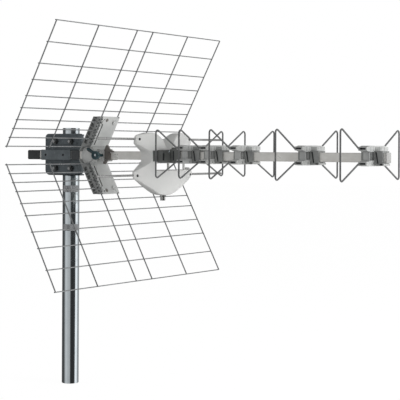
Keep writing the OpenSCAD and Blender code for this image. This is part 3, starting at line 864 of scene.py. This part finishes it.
@dataclass(frozen=True)
class ClampKnob:
    """The teal knob, its dome headed screw and the bent lever under it."""

    x: float = 120.5
    near: float = -30.0
    length: float = 7.0
    radius: float = 8.6
    rim: float = 0.16
    stem_end: float = -14.2
    stem_radius: float = 2.9
    ring_radius: float = 6.6
    ring_wire: float = 1.6
    ring_points: int = 48
    dome: Corner = (3.0, 2.0, 3.0)
    lever_path: tuple[Corner, ...] = ((-22, -33, 13), (-20.5, -33, 12), (-17, -32, 9.5), (-12, -30, 6.0),
                                      (-8, -29, 3.6), (-4, -29, 1.6))
    lever_radii: tuple[float, ...] = (2.2, 3.4, 3.6, 3.4, 3.4, 3.2)
    boss: Flat = (-31.4, -26.8)
    boss_radius: float = 6.2

    def bar(self, shell: Shell, near: float, far: float, radius: float, sides: int, rim: float = 0.3) -> None:
        """Adds a rod across the boom on the knob's axis."""
        shell.rod(from_axis((self.x, near, 0)), from_axis((self.x, far, 0)), radius * MM, sides, rim)

    def build(self, aerial: Aerial) -> None:
        """Makes the knob, the screw and the lever."""
        knob, screw, lever = Shell(), Shell(), Shell()
        face = self.near - self.length
        self.bar(knob, face, self.near, self.radius, 40, self.rim)
        self.bar(knob, self.near, self.stem_end, self.stem_radius, 24)
        turn = np.linspace(0, 2 * np.pi, self.ring_points, endpoint=False)
        ring = np.stack([self.x + self.ring_radius * np.cos(turn), np.full(self.ring_points, face),
                         self.ring_radius * np.sin(turn)], 1)
        radii = np.full(self.ring_points, self.ring_wire * MM)
        knob.tube(from_axis(ring), radii, 12, np.array([0, 1.0, 0]), closed=True)
        aerial.keep(knob.build("clamp_knob"), "clamp_screw")
        screw.bead(from_axis((self.x + 1, face, 0.5)), np.array(self.dome) * MM, 9, 24)
        aerial.extra(screw.build("knob_screw"), "mast_steel")
        path = from_axis(np.array(self.lever_path) + (self.x, 0, 0))
        lever.tube(path, np.array(self.lever_radii) * MM, 16, np.array([0.3, 1.0, 0.3]))
        self.bar(lever, *self.boss, self.boss_radius, 32)
        aerial.keep(lever.build("clamp_lever_body"), "clamp_lever")


@dataclass(frozen=True)
class BracketTrim:
    """Parts of the bracket that only show: rails, grooves, ticks, a boss and the far lips over the wires. The grooves
    and ticks are dark bars: painted shade of the channel along the wire and of the pockets between the ribs.

    A bar's section is given by two corners: the distance in front of the wires, and across.
    """

    start: float = 6.0
    end: float = 64.0
    chamfer: float = 0.3
    rail: tuple[Flat, Flat] = ((3.0, -21.8), (4.7, -16.2))
    groove: tuple[Flat, Flat] = ((3.0, -15.8), (4.9, -13.6))
    outer_tick: tuple[Flat, Flat] = ((3.0, -30.0), (4.2, -27.4))
    inner_tick: tuple[Flat, Flat] = ((3.0, -22.0), (4.9, -20.8))
    far_lip: tuple[Flat, Flat] = ((3.3, 21.5), (4.4, 28.8))
    far_lip_run: Flat = (2.0, 66.0)
    tick_places: range = range(10, 60, 7)
    boss: Flat = (-6.5, 60.5)
    boss_radius: float = 3.8

    def bar(self, shell: Shell, panel: ReflectorPanel, section: tuple[Flat, Flat], start: float, end: float) -> None:
        """Adds a bar with cut edges up the slope.

        Args:
            shell: Where to add it.
            panel: The panel that it lies on.
            section: Two opposite corners of its section.
            start: Where it starts up the slope.
            end: Where it ends.
        """
        (a, c), (b, d) = section
        cut = self.chamfer
        outline = [(a, c), (b - cut, c), (b, c + cut), (b, d - cut), (b - cut, d), (a, d)]
        grid = np.array([[panel.at(x, y, s) for x, y in outline] for s in (start, end)])
        shell.add_grid(grid, False, True, capped=True)

    def build(self, aerial: Aerial) -> None:
        """Makes the bars and bosses of both halves."""
        bosses, lips, grooves = Shell(), Shell(), Shell()
        for side in (1, -1):
            panel = ReflectorPanel(side)
            self.bar(lips, panel, self.rail, self.start, self.end)
            self.bar(grooves, panel, self.groove, self.start + 1, self.end - 1)
            for place in self.tick_places:
                self.bar(grooves, panel, self.outer_tick, place, place + 3)
                self.bar(grooves, panel, self.inner_tick, place + 2, place + 4)
            self.bar(lips, panel, self.far_lip, *self.far_lip_run)
            foot, head = (panel.at(ahead, *self.boss) for ahead in (self.groove[0][0], self.groove[1][0]))
            bosses.rod(foot, head, self.boss_radius * MM, 24)
        # Painted shade: dark bars where the channel and the rib pockets lie.
        aerial.extra(grooves.build("bracket_groove_shade", 20.0), "rear_cap_plastic")
        aerial.extra(bosses.build("bracket_bosses", 20.0), "latch_plastic")
        aerial.extra(lips.build("bracket_lips", 20.0), "bracket_plastic")


@dataclass(frozen=True)
class ClampPan:
    """The clamp plate as a pressed pan: round corners, walls that go back, and the CAD part's toothed jaws."""

    left: float = -50.0
    right: float = 44.0
    low: float = -39.0
    high: float = 42.5
    corner: float = 8.0
    front: float = 8.0
    depth: float = 11.0
    fillet: float = 1.6
    wall: float = 2.2
    rib_middle: float = 2.0
    rib_apart: float = 21.5

    def ring(self, inset: float, y: float) -> Array:
        """The pan's rounded rectangle, drawn in by a distance, at one place across the boom."""
        radius = max(self.corner - inset, 0.6)
        corners = np.array([(self.left + inset, self.low + inset), (self.right - inset, self.low + inset),
                            (self.right - inset, self.high - inset), (self.left + inset, self.high - inset)])
        outline = bent_loop(corners, np.full(4, radius), 8)
        return from_axis(np.insert(outline, 1, y, axis=1))

    def build(self, aerial: Aerial) -> None:
        """Makes the pan's skin and adds what lies behind it of the CAD part."""
        front, back = self.front, self.front + self.depth
        turn = np.linspace(0, np.pi / 2, 5)
        rounding = [(self.fillet * (1 - np.sin(a)), front + self.fillet * (1 - np.cos(a))) for a in turn[::-1]]
        stations = [(self.wall, front + self.wall), (self.wall, back), (0.0, back), *rounding,
                    (self.fillet + 2.4, front), (self.fillet + 3.2, front + 0.7)]
        shell = Shell()
        shell.add_grid(np.array([self.ring(inset, y) for inset, y in stations]), False, True, capped=True)
        for side in (-1, 1):
            middle = self.rib_middle + side * self.rib_apart
            shell.block((self.left + 9, front - 0.6, middle - 2), (self.right - 9, front + 2, middle + 2))
        pan = shell.build("clamp_pan", BLOCK_SHARP)
        jaws = aerial.frame["nodes"]["clamp_plate"].data.copy()
        work = bmesh.new()
        work.from_mesh(jaws)
        planes = ((from_axis((0, front + 1.5, 0)), (0, -1, 0)), (((self.right - 1) * MM, 0, 0), (1, 0, 0)),
                  (((self.left + 1) * MM, 0, 0), (-1, 0, 0)))
        for place, outward in planes:
            bmesh.ops.bisect_plane(work, geom=[*work.verts, *work.edges, *work.faces], plane_co=place,
                                   plane_no=outward, clear_outer=True)
        work.from_mesh(pan.data)
        work.to_mesh(pan.data)
        work.free()
        shade(pan, BLOCK_SHARP)
        aerial.keep(pan, "clamp_plate")


@dataclass(frozen=True)
class MastClips:
    """The two small clips on the mast: the near half of each CAD clip, closed where it is cut."""

    facing: float = np.radians(-15.0)
    offset: float = 1.0
    rounding: float = 0.4

    def build(self, aerial: Aerial) -> None:
        """Cuts each clip by an upright plane beside the mast's axis and keeps what faces forward."""
        outward = Vector((np.cos(self.facing), np.sin(self.facing), 0))
        for name in ("mast_clip_upper", "mast_clip_lower"):
            piece = aerial.machined(name, 0)
            work = bmesh.new()
            work.from_mesh(piece.data)
            made = bmesh.ops.bisect_plane(work, geom=[*work.verts, *work.edges, *work.faces],
                                          plane_co=outward * self.offset * MM, plane_no=outward, clear_inner=True)
            edges = [part for part in made["geom_cut"] if isinstance(part, bmesh.types.BMEdge)]
            bmesh.ops.holes_fill(work, edges=edges)
            work.to_mesh(piece.data)
            work.free()
            aerial.rounded(piece, self.rounding)


@dataclass(frozen=True)
class Holders:
    """The five director holders: two rails with slim fingers, a sleeve on the boom, and dark blocks that paint the
    shade in the slots.
    """

    places: tuple[float, ...] = EVERY_DIRECTOR
    back: float = -3.5
    front: float = 12.5
    sleeve: float = 12.0
    wires: Flat = (15.0, -9.9)
    mouth: Flat = (37.0, 39.25)
    upper_half: Outline = ((39, 11.8), (39, 18.2), (34, 18.4), (28, 20.0))
    upper_inner: Outline = ((-34, 11.4), (-27, 9.5), (27, 9.5), (34, 11.4))
    lower_half: Outline = ((39, -13.2), (39, -6.6), (34, -6.4), (27, -4.5))
    lower_inner: Outline = ((-34, -13.6), (-28, -14.0), (28, -14.0), (34, -13.6))
    cleft: Outline = ((14.4, 9.2), (17.0, 9.2), (20.4, -9.6), (17.8, -9.6))

    def body(self, x: float) -> Shell:
        """Makes one holder's rails, boss, foot and webs around its place along the boom."""
        body = Shell()
        for half, inner in ((self.upper_half, self.upper_inner), (self.lower_half, self.lower_inner)):
            outline = [*half, *((-y, z) for y, z in half[::-1]), *inner]
            body.prism(outline, Axis.ALONG_X, x + self.back, x + self.front)
        body.block((x - 2.5, -13.6, -8), (x + 9, 13.6, 10.4))
        body.block((x + 22, -self.sleeve, -13.2), (x + 30, self.sleeve, -9.5))
        for y in (-23, 23):
            body.block((x - 2, y - 1, -6), (x + 10, y + 1, 11))
        return body

    def add_slots(self, slots: Shell, x: float) -> None:
        """Adds dark blocks in one holder's mouths at the wires and in its leaning cleft: painted shade of these
        openings.
        """
        near, far = self.mouth
        for low, high in ((-far, -near), (near, far)):
            for z in self.wires:
                slots.block((x + 0.2, low, z - 1.5), (x + 10.2, high, z + 1.5))
        outline = np.array(self.cleft) + (x, 0)
        slots.prism(outline, Axis.ALONG_Y, -self.sleeve - 0.15, -self.sleeve + 1)

    def add_sleeve(self, sleeves: Shell, x: float) -> None:
        """Adds one holder's sleeve, its collar and the grey patches on the front of the rails, in a darker grey
        plastic than the holder: painted shade of the throat and of the windows in the rails.
        """
        front = x + self.front
        sleeves.block((x - 12, -self.sleeve, -12.8), (x + 28, self.sleeve, 11.2))
        sleeves.block((x + 12, -self.sleeve - 1.2, -12), (x + 14.2, self.sleeve + 1.2, 10.6))
        sleeves.block((front - 0.5, -9.5, 10.5), (front + 0.5, 9.5, 17.6))
        rows = (((-24.5, -14, 14, 24.5), 0.6, 10.4, 18.4), ((-20, -11, 11, 20), 1.4, -12.6, -8.6))
        for places, half, low, high in rows:
            for y in places:
                sleeves.block((front - 0.5, y - half, low), (front + 0.15, y + half, high))

    def build(self, aerial: Aerial) -> None:
        """Makes one piece for each holder, one for the painted shade in all the slots, and one for the sleeves and
        rail patches in a darker grey that paints their shade.
        """
        slots, sleeves = Shell(), Shell()
        for number, x in enumerate(self.places, 1):
            piece = self.body(x).build(f"holder_{number}_body", BLOCK_SHARP)
            aerial.rounded(aerial.keep(piece, f"holder_{number}"), 0.7)
            self.add_slots(slots, x)
            self.add_sleeve(sleeves, x)
        # Painted shade: black blocks that stand where the slot openings are.
        aerial.extra(slots.build("holder_slot_shade", BLOCK_SHARP), "black_steel")
        # Painted shade: the sleeves and rail patches take a darker grey plastic than the holder bodies.
        aerial.rounded(aerial.extra(sleeves.build("holder_sleeves_painted_shade", BLOCK_SHARP), "rib_plastic"), 0.6)


@dataclass(frozen=True)
class SaddleBlock:
    """The dark saddle in front of the housing: a cross bar and a sleeve on the boom."""

    back: float = 272.0
    bar: float = 284.0
    front: float = 304.0
    dome: Corner = (1.4, 2.4, 2.4)

    def build(self, aerial: Aerial) -> None:
        """Makes the saddle, dark blocks that paint the shadow and shade in its slots, and the bright screw on it."""
        body, slots, screw = Shell(), Shell(), Shell()
        bar = self.bar
        body.block((self.back, -37, -12.4), (bar, 37, 11.0))
        body.block((bar - 1, -13, -13), (self.front, 13, 12.6))
        body.block((bar, -10, 12), (self.front - 6, 10, 15.5))
        for y in (-24, 24):
            body.block((bar - 0.5, y - 9, -9), (bar + 1.2, y + 9, 8))
        aerial.rounded(aerial.keep(body.build("saddle_body", BLOCK_SHARP), "dipole_saddle"), 0.8)
        # Painted shadow at the cross bar's near edge, and painted shade in the sleeve's slot: black blocks.
        slots.block((bar - 0.4, -36.2, -8), (bar + 1.4, -33.4, 5))
        slots.block((bar + 6, -13.2, -8), (bar + 8.4, -12, 9))
        aerial.extra(slots.build("saddle_slot_shade", BLOCK_SHARP), "black_steel")
        screw.bead(from_axis((bar + 1.0, -17.5, 7.5)), np.array(self.dome) * MM, 9, 20)
        aerial.extra(screw.build("saddle_screw"), "mast_steel")


@dataclass(frozen=True)
class SpringLatch:
    """The brown latch on the boom in front of the bracket, with its upper and lower prong."""

    blocks: tuple[tuple[Corner, Corner], ...] = (
        ((113, -11, -7.6), (134, 11, 7.6)), ((105, -15.4, -8.5), (113.5, 0, 8.5)),
        ((128, -12, -9), (137, 12, 4)), ((104, -13.6, -11.2), (112.5, 13.6, 11.2)))
    prongs: tuple[Outline, ...] = (
        ((122, 8), (144, 6), (144.5, 8.4), (135.5, 10.8), (130, 19.6), (127, 19.6), (124, 12.5)),
        ((118, -8), (121, -16.8), (124, -17), (130, -8)))
    prong_depth: Flat = (-11.4, -7)

    def build(self, aerial: Aerial) -> None:
        """Makes the latch's blocks and prongs as one piece."""
        body = Shell()
        for low, high in self.blocks:
            body.block(low, high)
        for outline in self.prongs:
            body.prism(outline, Axis.ALONG_Y, *self.prong_depth)
        aerial.rounded(aerial.keep(body.build("latch_body", BLOCK_SHARP), "boom_latch"), 0.6)


def disc(place: Array, centre: Flat, radius: float) -> Array:
    """Distance inside a disc's rim: positive within it and negative outside."""
    return radius - np.linalg.norm(place - centre, axis=-1)


def web(place: Array, first: Flat, first_radius: float, second: Flat,
        second_radius: float) -> Array:
    """Distance inside the shape that two discs and their outer tangents make.

    Args:
        place: Points, two numbers each.
        first: Centre of the first disc.
        first_radius: Its radius.
        second: Centre of the second disc.
        second_radius: Its radius.

    Returns:
        The distance: from the nearer disc's rim beyond the tangents' ends, and from the tangent between them.
    """
    run = np.subtract(second, first)
    length = np.linalg.norm(run)
    run /= length
    local = place - first
    along = local @ run
    aside = np.abs(local @ np.array([-run[1], run[0]]))
    lean = (first_radius - second_radius) / length
    level = np.sqrt(1 - lean * lean)
    reach = along * level - aside * lean
    between = first_radius - (aside * level + along * lean)
    return np.where(reach < 0, first_radius - np.hypot(aside, along),
                    np.where(reach > level * length, second_radius - np.hypot(aside, along - length), between))


def box(place: Array, low: Flat, high: Flat) -> Array:
    """Distance inside a rectangle's nearest side."""
    return np.minimum(place - low, np.subtract(high, place)).min(-1)


@dataclass(frozen=True)
class HousingSkin:
    """The moulded dipole housing: an outline of lobes, horns and bowl, with two domed faces.

    The half thickness falls from the middle as a parabola: half (1 - (r / reach)^2), where r is
    the distance from the middle, and a quarter circle rounds it off at the outline.
    """

    place: float = 257.0
    half: float = 17.0
    reach: float = 100.0
    middle: float = -6.0
    step: float = 0.8
    rounding: float = 1.9
    upper_horn: Flat = (78.0, 31.0)
    lower_horn: Flat = (83.0, -35.6)
    horn_radius: float = 7.5
    lobe: Flat = (47.0, 4.0)
    lobe_radius: float = 39.0
    bowl: Flat = (0.0, 6.0)
    bowl_radius: float = 80.0
    bite: Flat = (62.5, -2.3)
    bite_radius: float = 12.5
    mouth: Flat = (122.5, -2.3)
    mouth_radius: float = 38.0
    openings: tuple[tuple[Flat, Flat], ...] = (((-8.2, -8.2), (8.2, 8.2)), ((-36.5, -26.5), (75, -11.5)))
    struts: tuple[Flat, Flat] = ((0.0, 4.6), (49.0, 53.6))
    strut_heights: tuple[float, ...] = (-29.0, -24.0, -13.5, -9.0)
    strut_ahead: float = 10.5
    band_reach: float = 49.0
    band_low: float = -11.4
    band_high: float = 11.0
    screws: Outline = ((76, 30.5), (-76, 30.5), (81, -36), (-81, -36))
    screw_radius: float = 2.7

    def inside(self, place: Array) -> Array:
        """Distance inside the housing's outline, for points of Y and Z from the boom's axis."""
        both = np.stack([np.abs(place[..., 0]), place[..., 1]], -1)
        shape = web(both, self.lobe, self.lobe_radius, self.upper_horn, self.horn_radius)
        bowl = web(both, self.bowl, self.bowl_radius, self.lower_horn, self.horn_radius)
        shape = np.maximum(shape, np.minimum(bowl, -20 - both[..., 1]))
        shape = np.maximum(shape, box(both, (-1, -34), (62, 14)))
        shape = np.minimum(shape, -web(both, self.mouth, self.mouth_radius, self.bite, self.bite_radius))
        for horn in (self.upper_horn, self.lower_horn):
            shape = np.maximum(shape, disc(both, horn, self.horn_radius))
        for low, high in self.openings:
            shape = np.minimum(shape, -box(place, low, high))
        return shape

    def dome(self, place: Array) -> Array:
        """Half thickness of the plain dome at points of Y and Z."""
        out = np.hypot(place[..., 0], place[..., 1] - self.middle)
        return self.half * (1 - (out / self.reach) ** 2)

    def half_thickness(self, place: Array) -> Array:
        """Half thickness at points of Y and Z, rounded off towards the outline."""
        full = self.dome(place)
        near = np.clip(self.inside(place), 0, self.rounding)
        lost = self.rounding - np.sqrt(self.rounding ** 2 - (self.rounding - near) ** 2)
        return np.maximum(full - lost, 0.4)

    def build(self, aerial: Aerial) -> None:
        """Nets the outline: one point in each grid cell, moved onto the outline where it crosses the cell."""
        y, z = np.arange(-94, 94, self.step), np.arange(-78, 48, self.step)
        corner = np.stack(np.meshgrid(y, z, indexing="ij"), -1)
        value = self.inside(corner)
        inside = value > 0
        sides = (((0, 0), (1, 0)), ((1, 0), (1, 1)), ((1, 1), (0, 1)), ((0, 1), (0, 0)))
        rows, columns = len(y) - 1, len(z) - 1

        def at(grid: Array, shift: tuple[int, int]) -> Array:
            """Reads the grid at one corner of every cell."""
            return grid[shift[0]:shift[0] + rows, shift[1]:shift[1] + columns]

        total, hits = np.zeros((rows, columns, 2)), np.zeros((rows, columns))
        for first, second in sides:
            crossed = at(inside, first) != at(inside, second)
            gap = np.where(crossed, at(value, first) - at(value, second), 1.0)
            share = np.clip(at(value, first) / gap, 0, 1)[..., None]
            total += np.where(crossed[..., None], at(corner, first) * (1 - share) + at(corner, second) * share, 0)
            hits += crossed
        middle = (at(corner, (0, 0)) + at(corner, (1, 1))) / 2
        flat = np.where(hits[..., None] > 0, total / np.maximum(hits, 1)[..., None], middle)
        number = np.arange(rows * columns).reshape(rows, columns)
        kept = inside[1:-1, 1:-1]
        quads = np.stack([number[:-1, :-1][kept], number[1:, :-1][kept], number[1:, 1:][kept],
                          number[:-1, 1:][kept]], 1)
        used, quads = np.unique(quads, return_inverse=True)
        quads = quads.reshape(-1, 4)
        flat = flat.reshape(-1, 2)[used]
        half = self.half_thickness(flat)
        front = np.column_stack([self.place + half, flat])
        back = np.column_stack([self.place - half, flat])
        edges = np.concatenate([quads[:, [k, (k + 1) % 4]] for k in range(4)])
        key, count = np.unique(np.sort(edges, 1), axis=0, return_counts=True)
        rim = key[count == 1]
        walls = np.column_stack([rim, rim[:, ::-1] + len(flat)])
        shell = Shell()
        shell.add(from_axis(np.vstack([front, back])), np.vstack([quads, quads[:, ::-1] + len(flat), walls]))
        for low, high in self.struts:
            self.strut(shell, low, high)
        aerial.keep(shell.build("housing_skin", 50.0), "dipole_housing")
        self.painted_shade_band(aerial)
        self.screw_recesses(aerial)

    def strut(self, shell: Shell, low: float, high: float) -> None:
        """Adds one of the thin bars between the middle and the bowl, given by its range of Y."""
        middle = (self.place + self.strut_ahead, (low + high) / 2)
        path = from_axis([(*middle, z) for z in self.strut_heights])
        shell.tube(path, np.full(len(path), (high - low) / 2 * MM), 16, np.array([1.0, 0, 0]))

    def painted_shade_band(self, aerial: Aerial) -> None:
        """Lays a dark band across the front, from one side of the waist to the other: painted shade of the sunken
        middle between the lobes and the bowl.

        It follows the domed face, a little in front of it, and turns in at its rims.
        """
        rows = np.linspace(-self.band_reach, self.band_reach, 61)
        columns = np.linspace(self.band_low, self.band_high, 17)
        flat = np.stack(np.meshgrid(rows, columns, indexing="ij"), -1)
        edge = box(flat, (-self.band_reach, self.band_low), (self.band_reach, self.band_high))
        lift = self.dome(flat) + 0.35 - np.where(edge < 0.5, 1.5, 0.0)
        front = np.concatenate([self.place + lift[..., None], flat], -1)
        back = front - (3.0, 0, 0)
        shell = Shell()
        points = from_axis(np.vstack([front.reshape(-1, 3), back.reshape(-1, 3)]))
        quads = grid_faces(len(rows), len(columns), False, False)
        shell.add(points, np.vstack([quads, quads[:, ::-1] + front.size // 3]))
        # Painted shade: a dark sheet in the saddle's plastic laid over the housing's sunken middle.
        aerial.extra(shell.build("housing_painted_shade_band"), "saddle_plastic")

    def screw_recesses(self, aerial: Aerial) -> None:
        """Sets a dark disc in the front of each horn: painted shade of its screw hole."""
        shell = Shell()
        for place in self.screws:
            lift = self.place + self.dome(np.array(place))
            ends = [from_axis((x, *place)) for x in (lift - 2.5, lift + 0.5)]
            shell.rod(*ends, self.screw_radius * MM, 20)
        # Painted shade: black discs where the screw holes lie.
        aerial.extra(shell.build("horn_screw_hole_shade"), "black_steel")


@dataclass
class Studio:
    """Camera, floor, lamps and surroundings."""

    eye: Corner = (1.6296, -1.8339, 0.4751)
    forward: Corner = (-0.58082, 0.81403, 0.0)
    roll: float = 0.00447
    lens: float = 108.47
    sensor: float = 36.0
    shift: Flat = (-0.0009, -0.1302)
    floor_half: float = 12.0
    floor_glow: float = 1.06
    floor_share: float = 0.9
    sky: Flat = (0.86, 0.26)
    bands: tuple[Flat, ...] = (
        (-180, 0.08), (-142, 0.06), (-133, 0.42), (-112, 0.62), (-90, 0.50), (-56, 0.42), (-48, 0.04), (-20, 0.03),
        (16, 0.05), (22, 1.0), (54, 1.0), (62, 0.34), (118, 0.34), (130, 0.10), (180, 0.08))
    key_place: Corner = (2.9, 0.7, 0.42)
    key_target: Corner = (0.25, 0.0, 0.45)
    key_size: float = 1.5
    key_power: float = 50.0

    def camera(self) -> None:
        """Sets the camera to the photograph's viewing angle, with its small roll."""
        data = bpy.data.cameras.new("camera")
        data.lens, data.sensor_width = self.lens, self.sensor
        data.shift_x, data.shift_y = self.shift
        data.clip_start, data.clip_end = 0.05, 50.0
        ahead = Vector(self.forward).normalized()
        right = Vector((ahead.y, -ahead.x, self.roll)).normalized()
        upward = right.cross(ahead).normalized()
        right = ahead.cross(upward).normalized()
        turn = Matrix((right, upward, -ahead)).transposed().to_4x4()
        camera = bpy.data.objects.new("camera", data)
        camera.matrix_world = Matrix.Translation(self.eye) @ turn
        bpy.context.scene.collection.objects.link(camera)
        bpy.context.scene.camera = camera

    def key_light(self) -> None:
        """Adds the square soft lamp that faces the aerial from in front."""
        data = bpy.data.lights.new("key_light", "AREA")
        data.shape, data.size, data.energy = "SQUARE", self.key_size, self.key_power
        lamp = bpy.data.objects.new("key_light", data)
        lamp.location = self.key_place
        facing = Vector(self.key_target) - Vector(self.key_place)
        lamp.rotation_euler = facing.to_track_quat("-Z", "Y").to_euler()
        lamp.visible_glossy = False
        bpy.context.scene.collection.objects.link(lamp)

    def floor(self) -> None:
        """Lays a pale floor that shows white where no shadow falls."""
        board = NodeBoard.for_material("floor_white")
        path = board.node("ShaderNodeLightPath")
        diffuse = board.node("ShaderNodeBsdfDiffuse")
        diffuse.inputs["Color"].default_value = (*PALE, 1)
        glow = board.node("ShaderNodeEmission")
        glow.inputs["Strength"].default_value = self.floor_glow
        share = board.node("ShaderNodeMath", operation="MULTIPLY")
        share.inputs[1].default_value = self.floor_share
        board.link(path.outputs["Is Camera Ray"], share.inputs[0])
        mixed = board.node("ShaderNodeMixShader")
        board.link(share.outputs[0], mixed.inputs["Fac"])
        board.link(diffuse.outputs["BSDF"], mixed.inputs[1])
        board.link(glow.outputs["Emission"], mixed.inputs[2])
        output = board.node("ShaderNodeOutputMaterial")
        board.link(mixed.outputs["Shader"], output.inputs["Surface"])
        mesh = bpy.data.meshes.new("floor")
        half = self.floor_half
        mesh.from_pydata([(-half, -half, 0), (half, -half, 0), (half, half, 0), (-half, half, 0)], [], [(0, 1, 2, 3)])
        mesh.materials.append(board.owner)
        floor = bpy.data.objects.new("floor", mesh)
        floor.location.z = -0.0005
        floor.visible_glossy = False
        bpy.context.scene.collection.objects.link(floor)

    def surroundings(self) -> None:
        """Lights the scene from a pale room: white to the camera, and banded like a studio in reflections.

        A glossy ray reads the compass angle of its own direction through a ramp, so that bright
        metal mirrors soft boxes and the dark room between them.
        """
        world = bpy.data.worlds.new("studio")
        bpy.context.scene.world = world
        board = NodeBoard(world)
        parts = board.node("ShaderNodeSeparateXYZ")
        board.link(board.node("ShaderNodeTexCoord").outputs["Generated"], parts.inputs["Vector"])
        angle = board.node("ShaderNodeMath", operation="ARCTAN2")
        for index, name in enumerate("YX"):
            board.link(parts.outputs[name], angle.inputs[index])
        ramp = board.node("ShaderNodeValToRGB")
        elements = ramp.color_ramp.elements
        for index, (degrees, level) in enumerate(self.bands):
            position = (degrees + 180) / 360
            element = elements[index] if index < 2 else elements.new(position)
            element.position = position
            element.color = (level, level, level, 1)
        board.link(board.span(angle.outputs[0], 0.0, 1.0, -np.pi, np.pi), ramp.inputs["Fac"])
        plain, banded, white = (board.node("ShaderNodeBackground") for _ in range(3))
        for background in (plain, white):
            background.inputs["Color"].default_value = (*WHITE, 1)
        board.link(board.span(parts.outputs["Z"], *self.sky, 0.0, 1.0), plain.inputs["Strength"])
        board.link(ramp.outputs["Color"], banded.inputs["Color"])
        path = board.node("ShaderNodeLightPath")
        shown = plain.outputs[0]
        for ray, other in (("Is Glossy Ray", banded), ("Is Camera Ray", white)):
            mixed = board.node("ShaderNodeMixShader")
            board.link(path.outputs[ray], mixed.inputs["Fac"])
            board.link(shown, mixed.inputs[1])
            board.link(other.outputs[0], mixed.inputs[2])
            shown = mixed.outputs[0]
        output = board.node("ShaderNodeOutputWorld")
        board.link(shown, output.inputs["Surface"])

    def build(self) -> None:
        """Sets up the whole studio."""
        self.camera()
        self.floor()
        self.surroundings()
        self.key_light()
        bpy.context.scene.view_settings.view_transform = "Standard"


@dataclass
class RoundedNodes:
    """CAD nodes whose shape is kept, each with the width of its edge rounding in millimetres."""

    widths: dict[str, float] = field(default_factory=lambda: {
        "clamp_bow_upper": 0.3, "clamp_bow_lower": 0.3, "clamp_nuts": 0.3, "boom_sleeve": 0.4, "set_screws": 0.2,
        "boom_collar": 0.3, "boom_tube": 0.0, "boom_rear_cap": 0.3, "boom_front_cap": 0.3, "bracket_hub": 0.4,
        "bracket_back_upper": 0.35, "bracket_back_lower": 0.35, "bracket_front_upper": 0.4,
        "bracket_front_lower": 0.4, "hub_cap_left": 0.3, "hub_cap_right": 0.3, "coax_socket": 0.2,
        "holder_screws": 0.2})

    def build(self, aerial: Aerial) -> None:
        """Makes a rounded copy of each node."""
        for node, width in self.widths.items():
            aerial.machined(node, width)


def main() -> None:
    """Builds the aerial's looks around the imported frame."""
    logging.basicConfig(level=logging.INFO, format="%(name)s: %(message)s")
    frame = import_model()
    aerial = Aerial(frame, Finishes())
    for part in (MastTube(), ReflectorPanel(1), ReflectorPanel(-1), BowTies(), DipoleRods(), HousingSkin(),
                 ClampKnob(), BracketTrim(), ClampPan(), MastClips(), Holders(), SaddleBlock(), SpringLatch(),
                 RoundedNodes()):
        part.build(aerial)
    Studio().build()
    bpy.context.view_layer.update()


if __name__ == "__main__":
    main()
